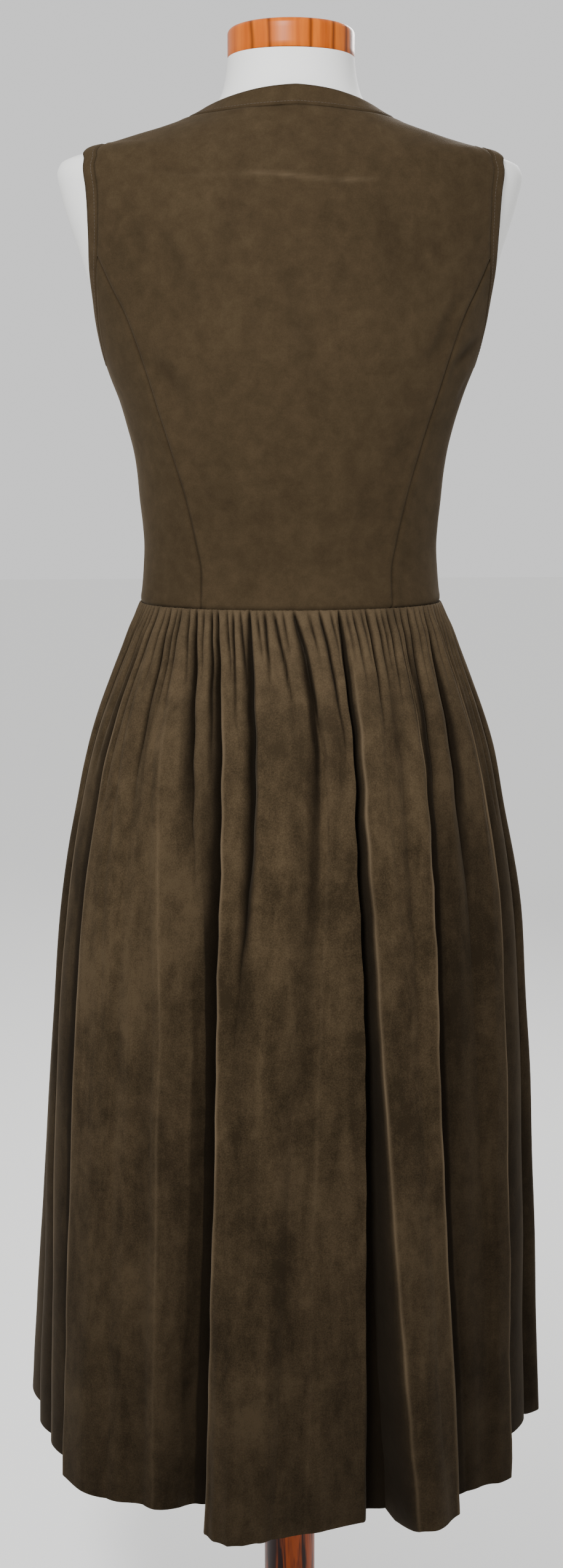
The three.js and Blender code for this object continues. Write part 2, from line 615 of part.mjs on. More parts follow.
function skirtPanel(folds) {
  const columns = skirtColumns(folds).map((column, number) => ({ ...column, number }));
  const topRow = WAIST_HEIGHT - HALF_GAP;
  const levels = [
    ...FLOWING_HEIGHTS.map((height) => ({ height, used: columns.filter((column) => column.kept) })),
    ...[...GATHERED_HEIGHTS, topRow].map((height) => ({ height, used: columns })),
  ].sort((a, b) => a.height - b.height);
  const rows = levels.map(({ height, used }) => {
    const outer = used.map((column) => skirtOuterPoint(folds, column, column.number, height));
    for (const [i, sign] of [[0, 1], [outer.length - 1, -1]]) {
      const towards = new THREE.Vector3(-outer[i].y, outer[i].x, 0).normalize();
      outer[i].addScaledVector(towards, sign * HALF_GAP);
    }
    return { outer, inner: insetRow(outer, SKIRT_CLOTH), stations: used.map((column) => column.number) };
  });
  return wallGeometry(rows);
}

// Dress form and stand
function formTorso() {
  const positions = [];
  const faces = [];
  FORM_RINGS.forEach(({ height }) => {
    for (let i = 0; i < FORM_COLUMNS; i += 1) {
      const point = bodyPoint((i * 360) / FORM_COLUMNS, height);
      positions.push(point.x, point.y, point.z);
    }
  });
  const at = (ring, column) => ring * FORM_COLUMNS + (column % FORM_COLUMNS);
  for (let ring = 0; ring < FORM_RINGS.length - 1; ring += 1) {
    for (let i = 0; i < FORM_COLUMNS; i += 1) {
      faces.push([at(ring, i), at(ring, i + 1), at(ring + 1, i + 1)]);
      faces.push([at(ring, i), at(ring + 1, i + 1), at(ring + 1, i)]);
    }
  }
  const topRing = FORM_RINGS.length - 1;
  const bottomCentre = positions.push(0, 0, FORM_BOTTOM) / 3 - 1;
  const topCentre = positions.push(0, 0, NECK_TOP) / 3 - 1;
  for (let i = 0; i < FORM_COLUMNS; i += 1) {
    faces.push([bottomCentre, at(0, i + 1), at(0, i)]);
    faces.push([topCentre, at(topRing, i), at(topRing, i + 1)]);
  }
  return facingOut(positions, faces);
}

// A turned piece standing upright, from a profile of radius and height
function turned(profile, sides) {
  const points = profile.map(([radius, height]) => new THREE.Vector2(radius, height));
  return new THREE.LatheGeometry(points, sides).rotateX(Math.PI / 2);
}

function neckCap() {
  const bottom = NECK_TOP + SEAM_GAP;
  const top = bottom + CAP_HEIGHT;
  const profile = [
    [0, bottom], [CAP_RADIUS - 1, bottom], [CAP_RADIUS, bottom + 1], [CAP_RADIUS, top - 4],
    [CAP_RADIUS - 1.2, top - 1.2], [CAP_RADIUS - 4, top], [0, top],
  ];
  return turned(profile, 28);
}

function standPole() {
  const bottom = BASE_THICKNESS + SEAM_GAP;
  const top = FORM_BOTTOM - SEAM_GAP;
  return turned([[0, bottom], [POLE_RADIUS, bottom], [POLE_RADIUS, top], [0, top]], 20);
}

function standBase() {
  const edge = 4;
  const profile = [
    [0, 0], [BASE_RADIUS - edge, 0], [BASE_RADIUS, edge], [BASE_RADIUS, BASE_THICKNESS - edge],
    [BASE_RADIUS - edge, BASE_THICKNESS], [0, BASE_THICKNESS],
  ];
  return turned(profile, 36);
}

const garment = new THREE.Group();

function addPiece(name, geometry, finish) {
  const piece = new THREE.Mesh(geometry, new THREE.MeshStandardMaterial(finish));
  piece.name = name;
  garment.add(piece);
}

function addPair(name, rows, cloth, closed = false) {
  addPiece(`${name}_left`, clothOnBody(rows, cloth, closed), CLOTH_FINISH);
  addPiece(`${name}_right`, clothOnBody(mirrored(rows), cloth, closed), CLOTH_FINISH);
}

addPiece('bodice_back', clothOnBody(backPanel(), BODICE_CLOTH), CLOTH_FINISH);
addPair('side_back', sidePanel('behind'), BODICE_CLOTH);
addPair('side_front', sidePanel('before'), BODICE_CLOTH);
addPair('bodice_front', frontPanel(), BODICE_CLOTH);
addPiece('neck_band', clothOnBody(neckBand(), BAND_CLOTH), CLOTH_FINISH);
addPair('armhole_band', armholeBand(), BAND_CLOTH, true);
addPiece('skirt_back', skirtPanel(BACK_FOLDS), CLOTH_FINISH);
addPiece('skirt_front', skirtPanel(frontFolds()), CLOTH_FINISH);
addPiece('form_torso', formTorso(), FORM_FINISH);
addPiece('form_neck_cap', neckCap(), CAP_FINISH);
addPiece('stand_pole', standPole(), STAND_FINISH);
addPiece('stand_base', standBase(), STAND_FINISH);

export default garment;
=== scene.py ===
"""A sleeveless dirndl worn by a limbless dress form on a round wooden stand, seen from behind.

Lengths inside the classes are millimetres and become metres where a mesh is made. A turn is an
angle round the pole in degrees: 0 is the centre front, 90 the wearer's left side, 180 the centre
back and 270 the right side.
"""
import logging
import math
import random
from dataclasses import dataclass, field, replace
from enum import Enum
from typing import Callable, Optional, Sequence

import bpy
import numpy as np
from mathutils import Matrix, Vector


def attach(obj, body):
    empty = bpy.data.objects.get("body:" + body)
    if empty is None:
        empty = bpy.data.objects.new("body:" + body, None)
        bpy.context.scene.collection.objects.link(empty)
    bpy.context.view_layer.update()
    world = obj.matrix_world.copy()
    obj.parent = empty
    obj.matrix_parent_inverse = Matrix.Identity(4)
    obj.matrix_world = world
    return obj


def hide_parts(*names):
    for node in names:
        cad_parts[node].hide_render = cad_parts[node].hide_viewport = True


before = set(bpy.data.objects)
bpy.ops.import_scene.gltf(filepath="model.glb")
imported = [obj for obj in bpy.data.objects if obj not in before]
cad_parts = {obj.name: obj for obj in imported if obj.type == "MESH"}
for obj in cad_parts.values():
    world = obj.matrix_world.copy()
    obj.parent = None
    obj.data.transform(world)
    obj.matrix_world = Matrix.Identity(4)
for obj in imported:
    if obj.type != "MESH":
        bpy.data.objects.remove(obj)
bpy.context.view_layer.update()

logging.basicConfig(level=logging.INFO, format="%(message)s")
log = logging.getLogger("dirndl")

METRE = 0.001
HALF = 0.5
TURNED_EDGE = 40.0
DRESSED = "_dressed"
Array = np.ndarray
Pair = tuple[float, float]
Triple = tuple[float, float, float]
Piece = bpy.types.Object
Material = bpy.types.Material
Tree = bpy.types.NodeTree
Socket = bpy.types.NodeSocket


class Side(Enum):
    """Which half of the body a bodice panel lies on."""

    BEHIND = "behind"
    BEFORE = "before"


class Hand(Enum):
    """The wearer's left or right."""

    LEFT = "left"
    RIGHT = "right"


class FoldKind(Enum):
    """A fold line of the skirt is a ridge or a valley."""

    RIDGE = 1
    VALLEY = -1


# Finishes


@dataclass(frozen=True)
class SuedeFinish:
    """Brushed microfibre with a soft nap; its fold edges get a painted sheen highlight, and painted shade
    darkens it in hollows, creases and towards the hem.
    """

    name: str = "suede_cloth"
    dark: Triple = (0.0200, 0.0135, 0.0068)
    middle: Triple = (0.0380, 0.0258, 0.0135)
    pale: Triple = (0.0580, 0.0400, 0.0215)
    # Colour of the painted shade; the next one is both the real rub mark's colour and the painted sheen
    # highlight on fold edges.
    deep: Triple = (0.0040, 0.0026, 0.0014)
    rub_and_highlight: Triple = (0.115, 0.083, 0.050)
    patch_scale: float = 9.0
    mottle_scale: float = 85.0
    brush_scale: float = 60.0
    grain_scale: float = 900.0
    crumple_scale: float = 85.0
    brush_stretch: float = 0.22
    patch_share: float = 0.3
    mottle_share: float = 0.45
    grain_share: float = 0.25
    brushed_effect: float = 0.6
    plain_contrast: float = 0.55
    nap_contrast: float = 1.3
    tone_spread: float = 0.16
    # Strengths of the darker tone and painted shade, of the painted shade in hollows, of the painted sheen
    # highlight, and of the real rub mark.
    tone_and_shade_effect: float = 0.55
    painted_shade_effect: float = 0.88
    painted_highlight_effect: float = 0.75
    rub_effect: float = 0.34
    roughness: float = 0.93
    sheen: float = 0.06
    sheen_roughness: float = 0.42
    sheen_tint: tuple[float, float, float, float] = (0.85, 0.68, 0.48, 1)
    specular: float = 0.05
    relief_strength: float = 0.32
    relief_depth: float = 0.0011
    crumple_share: float = 0.8

    def material(self) -> Material:
        """Builds the cloth's material.

        Returns:
            The material, which reads each cloth piece's attributes: nap, low (a darker tone and painted
            shade), a painted shade attribute, edge (a painted sheen highlight) and rub (the real rub mark).
        """
        mat, tree, shader = new_material(self.name)
        place = tree.nodes.new("ShaderNodeTexCoord").outputs["Object"]
        patches = noise(tree, place, Noise(self.patch_scale, 3.0, 0.55, 0.35))
        mottle = noise(tree, place, Noise(self.mottle_scale, 4.0, 0.62, 0.2))
        grain = noise(tree, place, Noise(self.grain_scale, 2.0, 0.6, 0.0))
        drawn_out = stretched(tree, place, (1.0, 1.0, self.brush_stretch))
        brushed = noise(tree, drawn_out, Noise(self.brush_scale, 3.0, 0.6, 0.5))
        streaks = math_node(tree, "SUBTRACT", brushed, mottle)
        stroked = math_node(tree, "MULTIPLY", streaks, scaled_attribute(tree, "nap", self.brushed_effect))
        fine = math_node(tree, "ADD", mottle, stroked)
        blend = combine(tree, [(patches, self.patch_share), (fine, self.mottle_share),
                               (grain, self.grain_share)])
        uneven = math_node(tree, "SUBTRACT", blend, HALF)
        contrast = scaled_attribute(tree, "nap", self.nap_contrast)
        strength = math_node(tree, "ADD", contrast, self.plain_contrast)
        level = math_node(tree, "ADD", math_node(tree, "MULTIPLY", uneven, strength), HALF)
        colour = ramp(tree, level, [(HALF - self.tone_spread, self.dark), (HALF, self.middle),
                                    (HALF + self.tone_spread, self.pale)])
        # The first two layers paint shade in the deep colour (the first also gives a plain darker tone on the
        # middle bodice), the third paints a sheen highlight, and the last is the real rub mark.
        layers = (("low", self.tone_and_shade_effect, self.deep), ("hollow", self.painted_shade_effect, self.deep),
                  ("edge", self.painted_highlight_effect, self.rub_and_highlight), ("rub", self.rub_effect, self.rub_and_highlight))
        for mark, effect, over in layers:
            colour = mixed(tree, scaled_attribute(tree, mark, effect), colour, over)
        tree.links.new(colour, shader.inputs["Base Color"])
        shader.inputs["Roughness"].default_value = self.roughness
        shader.inputs["Sheen Weight"].default_value = self.sheen
        shader.inputs["Sheen Roughness"].default_value = self.sheen_roughness
        shader.inputs["Sheen Tint"].default_value = self.sheen_tint
        shader.inputs["Specular IOR Level"].default_value = self.specular
        crumple = noise(tree, place, Noise(self.crumple_scale, 3.0, 0.5, 0.4))
        relief = combine(tree, [(crumple, self.crumple_share), (grain, 1 - self.crumple_share)])
        bump(tree, relief, shader, self.relief_strength, self.relief_depth)
        return mat


@dataclass(frozen=True)
class PlainFinish:
    """A plain finish of one colour, such as the form's shell or sewing thread."""

    name: str
    colour: Triple
    roughness: float = 0.5

    def material(self) -> Material:
        """Builds the plain material.

        Returns:
            The material.
        """
        mat, _, shader = new_material(self.name)
        shader.inputs["Base Color"].default_value = (*self.colour, 1)
        shader.inputs["Roughness"].default_value = self.roughness
        return mat


@dataclass(frozen=True)
class WoodFinish:
    """Varnished wood; its grain runs along the axis with the smallest stretch, Z unless it is laid flat."""

    name: str
    light: Triple
    dark: Triple
    streak: Triple = (0.05, 0.012, 0.005)
    streaks: tuple[float, ...] = ()
    across_scale: float = 70.0
    spread: float = 0.145
    middle: float = 0.475
    stretch: Triple = (1.0, 1.0, 0.07)
    sway: float = 4.0
    sway_scale: float = 26.0
    streak_half_width: float = 2.2
    streak_core: float = 0.3
    streak_strength: float = 0.75
    roughness: float = 0.34
    specular: float = 0.16
    relief_strength: float = 0.1
    relief_depth: float = 0.0003

    def material(self) -> Material:
        """Builds the wood, with dark lines at the given places across it.

        Returns:
            The material; streaks are distances along X in millimetres.
        """
        mat, tree, shader = new_material(self.name)
        place = tree.nodes.new("ShaderNodeTexCoord").outputs["Object"]
        along = stretched(tree, place, self.stretch)
        grain = noise(tree, along, Noise(self.across_scale, 4.0, 0.6, 0.6))
        colour = ramp(tree, grain, [(self.middle - self.spread, self.dark),
                                    (self.middle + self.spread, self.light)])
        if self.streaks:
            colour = self.streaked(tree, place, colour)
        tree.links.new(colour, shader.inputs["Base Color"])
        shader.inputs["Roughness"].default_value = self.roughness
        shader.inputs["Specular IOR Level"].default_value = self.specular
        bump(tree, grain, shader, self.relief_strength, self.relief_depth)
        return mat

    def streaked(self, tree: Tree, place: Socket, colour: Socket) -> Socket:
        """Draws the dark lines over the wood.

        Args:
            tree: The material's tree.
            place: Coordinates.
            colour: The wood's colour.

        Returns:
            The colour with its lines.
        """
        split = tree.nodes.new("ShaderNodeSeparateXYZ")
        tree.links.new(place, split.inputs[0])
        wander = noise(tree, place, Noise(self.sway_scale, 2.0, 0.5, 0.0))
        sway = math_node(tree, "MULTIPLY", wander, self.sway * METRE)
        across = math_node(tree, "ADD", split.outputs["X"], sway)
        for centre in self.streaks:
            offset = math_node(tree, "SUBTRACT", across, (centre + self.sway * HALF) * METRE)
            away = math_node(tree, "ABSOLUTE", offset, 0)
            inside = tree.nodes.new("ShaderNodeMapRange")
            tree.links.new(away, inside.inputs["Value"])
            inside.inputs["From Min"].default_value = self.streak_half_width * METRE
            inside.inputs["From Max"].default_value = self.streak_core * METRE
            share = math_node(tree, "MULTIPLY", inside.outputs[0], self.streak_strength)
            colour = mixed(tree, share, colour, self.streak)
        return colour


@dataclass(frozen=True)
class Noise:
    """A noise pattern: cycles in a metre, finer layers, their strength and its distortion."""

    scale: float
    detail: float
    rough: float
    bend: float


def new_material(name: str) -> tuple[Material, Tree, bpy.types.Node]:
    """Starts a material.

    Args:
        name: The material's name.

    Returns:
        The material, its node tree and its main shader.
    """
    mat = bpy.data.materials.new(name)
    mat.use_nodes = True
    return mat, mat.node_tree, mat.node_tree.nodes["Principled BSDF"]


def noise(tree: Tree, place: Socket, pattern: Noise) -> Socket:
    """Adds a noise pattern.

    Args:
        tree: The material's tree.
        place: Coordinates.
        pattern: The pattern.

    Returns:
        The pattern's value.
    """
    node = tree.nodes.new("ShaderNodeTexNoise")
    tree.links.new(place, node.inputs["Vector"])
    node.inputs["Scale"].default_value = pattern.scale
    node.inputs["Detail"].default_value = pattern.detail
    node.inputs["Roughness"].default_value = pattern.rough
    node.inputs["Distortion"].default_value = pattern.bend
    return node.outputs["Fac"]


def stretched(tree: Tree, place: Socket, stretch: Triple) -> Socket:
    """Draws coordinates out, so that a pattern grows long where the stretch is small.

    Args:
        tree: The material's tree.
        place: Coordinates.
        stretch: A factor along each axis.

    Returns:
        The new coordinates.
    """
    node = tree.nodes.new("ShaderNodeMapping")
    node.inputs["Scale"].default_value = stretch
    tree.links.new(place, node.inputs["Vector"])
    return node.outputs[0]


def math_node(tree: Tree, operation: str, value: Socket, other: float | Socket) -> Socket:
    """Adds a node that combines two values by an operation.

    Args:
        tree: The material's tree.
        operation: The node's operation.
        value: First value.
        other: Second value, a number or a socket.

    Returns:
        The result.
    """
    node = tree.nodes.new("ShaderNodeMath")
    node.operation = operation
    tree.links.new(value, node.inputs[0])
    if isinstance(other, (int, float)):
        node.inputs[1].default_value = other
    else:
        tree.links.new(other, node.inputs[1])
    return node.outputs[0]


def combine(tree: Tree, parts: Sequence[tuple[Socket, float]]) -> Socket:
    """Adds patterns up by their shares.

    Args:
        tree: The material's tree.
        parts: Pairs of a value and its share.

    Returns:
        The sum.
    """
    total = math_node(tree, "MULTIPLY", parts[0][0], parts[0][1])
    for value, share in parts[1:]:
        total = math_node(tree, "ADD", total, math_node(tree, "MULTIPLY", value, share))
    return total


def ramp(tree: Tree, value: Socket, stops: Sequence[tuple[float, Triple]]) -> Socket:
    """Turns a value into a colour.

    Args:
        tree: The material's tree.
        value: The value.
        stops: Pairs of a value and its colour, rising.

    Returns:
        The colour.
    """
    node = tree.nodes.new("ShaderNodeValToRGB")
    tree.links.new(value, node.inputs[0])
    elements = node.color_ramp.elements
    while len(elements) < len(stops):
        elements.new(HALF)
    for element, (position, colour) in zip(elements, stops):
        element.position = position
        element.color = (*colour, 1)
    return node.outputs["Color"]


def mixed(tree: Tree, share: Socket, base: Socket, colour: Triple) -> Socket:
    """Mixes a colour over another.

    Args:
        tree: The material's tree.
        share: How much of the second colour shows.
        base: First colour.
        colour: Second colour.

    Returns:
        The mixed colour.
    """
    node = tree.nodes.new("ShaderNodeMix")
    node.data_type = "RGBA"
    tree.links.new(share, node.inputs["Factor"])
    base_input, colour_input, colour_output = 6, 7, 2
    tree.links.new(base, node.inputs[base_input])
    node.inputs[colour_input].default_value = (*colour, 1)
    return node.outputs[colour_output]


def scaled_attribute(tree: Tree, name: str, share: float) -> Socket:
    """Reads one of a cloth piece's own attributes.

    Args:
        tree: The material's tree.
        name: The attribute.
        share: Its greatest effect.

    Returns:
        The attribute times the share.
    """
    node = tree.nodes.new("ShaderNodeAttribute")
    node.attribute_name = name
    return math_node(tree, "MULTIPLY", node.outputs["Fac"], share)


def bump(tree: Tree, height: Socket, shader: bpy.types.Node, strength: float, depth: float) -> None:
    """Adds fine relief to a shader.

    Args:
        tree: The material's tree.
        height: The relief.
        shader: The shader that gets it.
        strength: Its strength.
        depth: Its depth in metres.
    """
    node = tree.nodes.new("ShaderNodeBump")
    node.inputs["Strength"].default_value = strength
    node.inputs["Distance"].default_value = depth
    tree.links.new(height, node.inputs["Height"])
    tree.links.new(node.outputs[0], shader.inputs["Normal"])


# Curves and the body's surface


class SmoothCurve:
    """A smooth curve through table rows that never swings past them."""

    def __init__(self, inputs: Sequence[float], outputs: Sequence[float]) -> None:
        """Keeps the rows and works out a slope at each.

        Args:
            inputs: Rising inputs.
            outputs: The outputs there.
        """
        self.inputs = np.array(inputs, float)
        self.outputs = np.array(outputs, float)
        steps = np.diff(self.outputs) / np.diff(self.inputs)
        slopes = np.empty(len(self.inputs))
        slopes[0], slopes[-1] = steps[0], steps[-1]
        before, after = steps[:-1], steps[1:]
        safe = np.where(before * after > 0, before + after, 1.0)
        slopes[1:-1] = np.where(before * after > 0, 2 * before * after / safe, 0.0)
        self.slopes = slopes

    def __call__(self, value: float | Array) -> Array:
        """Reads the curve.

        Args:
            value: One input or many.

        Returns:
            The outputs.
        """
        x = np.clip(np.asarray(value, float), self.inputs[0], self.inputs[-1])
        i = np.clip(np.searchsorted(self.inputs, x, side="right") - 1, 0, len(self.inputs) - 2)
        width = self.inputs[i + 1] - self.inputs[i]
        t = (x - self.inputs[i]) / width
        rest = 1 - t
        start = rest * rest * ((1 + 2 * t) * self.outputs[i] + t * width * self.slopes[i])
        end = t * t * ((1 + 2 * rest) * self.outputs[i + 1] - rest * width * self.slopes[i + 1])
        return start + end


def signed_power(value: Array, power: float | Array) -> Array:
    """A power that keeps its base's sign."""
    return np.sign(value) * np.abs(value) ** power


def bell(away: Array, width: float) -> Array:
    """A soft bump of height one that fades away over a width."""
    return np.exp(-((away / width) ** 2))


def unit(vectors: Array) -> Array:
    """Vectors brought to length one."""
    return vectors / np.maximum(np.linalg.norm(vectors, axis=-1, keepdims=True), 1e-12)


def places(turns: float | Array, heights: float | Array) -> Array:
    """Pairs of turn and height, stacked along a last axis."""
    turn, height = np.broadcast_arrays(np.asarray(turns, float), np.asarray(heights, float))
    return np.stack([turn, height], axis=-1)


def mirror(line: Array) -> Array:
    """The same places on the other half of the body."""
    return places(360 - line[..., 0], line[..., 1])


@dataclass
class BodyShape:
    """The dress form's surface: level rings with a half width and two depths."""

    rings: tuple[tuple[float, float, float, float], ...] = (
        # height, half width, depth before the axis, depth behind it
        (862, 126, 90, 96), (866, 142, 104, 110), (880, 156, 116, 122), (905, 162, 121, 129),
        (930, 160, 119, 128), (960, 153, 113, 122), (990, 142, 104, 112), (1020, 130, 95, 101),
        (1045, 123, 89.5, 94), (1063, 121, 88, 91), (1085, 118.5, 87, 87), (1105, 117.5, 88, 86),
        (1125, 118.5, 90, 86.5), (1145, 120.5, 93, 88), (1165, 122.5, 98, 89.5),
        (1185, 125.5, 105, 91), (1205, 130.5, 113, 93), (1225, 136.5, 121, 94.5),
        (1245, 144, 126, 96), (1265, 150.5, 127, 97), (1285, 155.5, 123, 97.5),
        (1305, 160, 115, 97.5), (1325, 166, 106, 97), (1345, 172, 98, 95.5),
        (1365, 178.5, 90, 93), (1385, 184, 82, 89), (1400, 187, 76, 85), (1408, 184, 72, 82),
        (1412, 176, 70, 80), (1414.5, 166, 69, 79), (1417, 154, 67, 77.5), (1421, 139, 65, 75.5),
        (1426, 122, 62, 73), (1431, 105, 60, 70.5), (1436, 90, 57.5, 67.5), (1441, 79, 56, 65),
        (1448, 67, 54, 61), (1456, 59, 52.5, 57.5), (1466, 54.5, 51.5, 54),
        (1480, 51.5, 51, 51.5), (1490, 50.5, 50.5, 50.5),
    )
    squareness: float = 2.2
    search_rounds: int = 4

    def __post_init__(self) -> None:
        """Makes the three curves of the rings."""
        table = np.array(self.rings)
        self.side = SmoothCurve(table[:, 0], table[:, 1])
        self.before = SmoothCurve(table[:, 0], table[:, 2])
        self.behind = SmoothCurve(table[:, 0], table[:, 3])

    def point(self, line: Array) -> Array:
        """Points of the body.

        Args:
            line: Places of turn and height.

        Returns:
            Points in millimetres.
        """
        turn, height = np.radians(line[..., 0]), line[..., 1]
        across = signed_power(np.sin(turn), 2 / self.squareness)
        ahead = signed_power(np.cos(turn), 2 / self.squareness)
        depth = np.where(ahead > 0, self.before(height), self.behind(height))
        return np.stack([self.side(height) * across, -depth * ahead, height], axis=-1)

    def slopes(self, line: Array) -> tuple[Array, Array]:
        """Steps round the body by a degree and up it by a millimetre.

        Args:
            line: Places of turn and height.

        Returns:
            The two steps at each place.
        """
        round_step = self.point(line + (HALF, 0)) - self.point(line - (HALF, 0))
        up_step = self.point(line + (0, HALF)) - self.point(line - (0, HALF))
        return round_step, up_step

    def normal(self, line: Array) -> Array:
        """Directions straight out of the body."""
        return unit(np.cross(*self.slopes(line)))

    def lifted(self, line: Array, out: float | Array) -> Array:
        """Points in millimetres, moved straight out of the body from their places."""
        away = np.broadcast_to(np.asarray(out, float), line.shape[:-1])[..., None]
        return self.point(line) + self.normal(line) * away

    def nearest(self, points: Array, start: Array) -> Array:
        """Places nearest to some points.

        Args:
            points: Points close to the body.
            start: Places close to the answer.

        Returns:
            The places.
        """
        line = start.copy()
        for _ in range(self.search_rounds):
            away = points - self.point(line)
            round_step, up_step = self.slopes(line)
            aa = (round_step ** 2).sum(-1)
            bb = (up_step ** 2).sum(-1)
            ab = (round_step * up_step).sum(-1)
            a = (away * round_step).sum(-1)
            b = (away * up_step).sum(-1)
            size = aa * bb - ab * ab
            line = line + np.stack([(a * bb - b * ab) / size, (b * aa - a * ab) / size], -1)
        return line

    def beside(self, line: Array, distance: float, closed: bool = False) -> Array:
        """A line to the right of another, seen from outside, at an even distance.

        Args:
            line: Places along the line.
            distance: How far; a negative one goes to the left.
            closed: Whether the line is a loop.

        Returns:
            Places along the new line.
        """
        points = self.point(line)
        if closed:
            along = np.roll(points, -1, 0) - np.roll(points, 1, 0)
        else:
            along = np.gradient(points, axis=0)
        sideways = unit(np.cross(along, self.normal(line)))
        return self.nearest(points + sideways * distance, line)


# Making meshes


def make_object(name: str, points: Array, faces: Array, material: Material, sharp: float = 48.0) -> Piece:
    """Makes an object from points and faces.

    Args:
        name: The object's name.
        points: Points in millimetres.
        faces: Rows of four or three indices.
        material: Its material.
        sharp: Angle in degrees past which an edge stays sharp.

    Returns:
        The object, smooth shaded.
    """
    mesh = bpy.data.meshes.new(name)
    count, corners = faces.shape
    mesh.vertices.add(len(points))
    mesh.vertices.foreach_set("co", (points * METRE).astype(np.float32).ravel())
    mesh.loops.add(count * corners)
    mesh.loops.foreach_set("vertex_index", faces.astype(np.int32).ravel())
    mesh.polygons.add(count)
    mesh.polygons.foreach_set("loop_start", np.arange(0, count * corners, corners, dtype=np.int32))
    mesh.update(calc_edges=True)
    mesh.polygons.foreach_set("use_smooth", np.ones(count, dtype=bool))
    mesh.set_sharp_from_angle(angle=math.radians(sharp))
    mesh.materials.append(material)
    mesh.validate()
    obj = bpy.data.objects.new(name + DRESSED, mesh)
    bpy.context.scene.collection.objects.link(obj)
    return obj


def node_of(piece: Piece) -> str:
    """The solid that a piece stands for."""
    return piece.name.removesuffix(DRESSED)


def set_attribute(obj: Piece, name: str, values: Array) -> None:
    """Gives a mesh one number at each point, under an attribute's name."""
    attribute = obj.data.attributes.new(name, "FLOAT", "POINT")
    attribute.data.foreach_set("value", values.astype(np.float32).ravel())


def area_of(obj: Piece) -> float:
    """Area of one face of a closed wall of cloth, in square metres."""
    return sum(face.area for face in obj.data.polygons) / 2


@dataclass
class Wall:
    """A closed wall of cloth between an outer and an inner grid of points."""

    outer: Array
    inner: Array
    looped: bool = False
    marks: dict[str, Array] = field(default_factory=dict)
    rim_bulge: float = 0.28

    def rims(self) -> list[list[tuple[int, int]]]:
        """Rows of grid positions round each free edge, each a closed loop.

        Returns:
            One loop for a sheet, two for a closed band.
        """
        rows, columns = self.outer.shape[:2]
        low = [(0, c) for c in range(columns)]
        high = [(rows - 1, c) for c in range(columns)]
        if self.looped:
            return [low, high[::-1]]
        right = [(r, columns - 1) for r in range(1, rows - 1)]
        left = [(r, 0) for r in range(rows - 2, 0, -1)]
        return [low + right + high[::-1] + left]

    def build(self, name: str, material: Material) -> Piece:
        """Makes the wall's mesh, with rounded rims and its marks as attributes.

        Args:
            name: The object's name.
            material: The cloth.

        Returns:
            The object.
        """
        rows, columns = self.outer.shape[:2]
        index = np.arange(rows * columns).reshape(rows, columns)
        after = np.roll(index, -1, 1) if self.looped else index[:, 1:]
        here = index if self.looped else index[:, :-1]
        outer_faces = np.stack([here[:-1], after[:-1], after[1:], here[1:]], -1).reshape(-1, 4)
        shift = rows * columns
        faces = [outer_faces, outer_faces[:, ::-1] + shift]
        points = [self.outer.reshape(-1, 3), self.inner.reshape(-1, 3)]
        mark_rows = {key: [value.ravel(), value.ravel()] for key, value in self.marks.items()}
        total = 2 * shift
        for rim in self.rims():
            at = np.array([index[r, c] for r, c in rim])
            inward = np.array([self.step_in(r, c) for r, c in rim])
            outer, inner = points[0][at], points[1][at]
            away = unit(outer - points[0][inward])
            thickness = np.linalg.norm(outer - inner, axis=1)[:, None]
            middle = (outer + inner) / 2 + away * thickness * self.rim_bulge
            mid = np.arange(len(rim)) + total
            total += len(rim)
            points.append(middle)
            nxt = np.roll(np.arange(len(rim)), -1)
            faces.append(np.stack([at, mid, mid[nxt], at[nxt]], -1))
            faces.append(np.stack([mid, at + shift, at[nxt] + shift, mid[nxt]], -1))
            for value in mark_rows.values():
                value.append(value[0][at])
        cloud, quads = np.concatenate(points), np.concatenate(faces)
        a, b, c, d = (cloud[quads[:, i]] for i in range(4))
        volume = (np.cross(b, c) * a).sum() + (np.cross(c, d) * a).sum()
        obj = make_object(name, cloud, quads if volume > 0 else quads[:, ::-1], material)
        for key, value in mark_rows.items():
            set_attribute(obj, key, np.concatenate(value))
        return obj

    def step_in(self, row: int, column: int) -> int:
        """The grid position one step in from a rim.

        Args:
            row: The rim position's row.
            column: Its column.

        Returns:
            The flat index of the position inside.
        """
        rows, columns = self.outer.shape[:2]
        if self.looped:
            return (1 if row == 0 else rows - 2) * columns + column
        return min(max(row, 1), rows - 2) * columns + min(max(column, 1), columns - 2)


# Bodice


@dataclass(frozen=True)
class Crease:
    """A soft trough or ridge of the bodice, between two points seen from behind or before."""

    x_from: float
    z_from: float
    x_to: float
    z_to: float
    depth: float
    width: float
    end_share: float = 0.25

    def lift(self, grid: Array) -> Array:
        """How far it moves the cloth.

        Args:
            grid: Points in millimetres.

        Returns:
            A distance for each point, negative in a trough.
        """
        start = np.array([self.x_from, self.z_from])
        way = np.array([self.x_to, self.z_to]) - start
        flat = grid[..., [0, 2]] - start
        share = (flat @ way) / (way @ way)
        inside = np.clip(share, 0, 1)
        away = np.linalg.norm(flat - inside[..., None] * way, axis=-1)
        taper = self.end_share + (1 - self.end_share) * np.sin(np.pi * inside)
        return self.depth * taper * bell(away, self.width)


@dataclass(frozen=True)
class SeamGroove:
    """The groove of a seam and the soft swell of its allowance beside it."""

    depth: float = 0.9
    width: float = 1.2
    swell: float = 0.3
    swell_at: float = 5.5
    swell_width: float = 2.6

    def profile(self, distance: Array) -> Array:
        """How far the cloth moves at given distances from the seam."""
        swell = self.swell * bell(distance - self.swell_at, self.swell_width)
        return swell - self.depth * bell(distance, self.width)


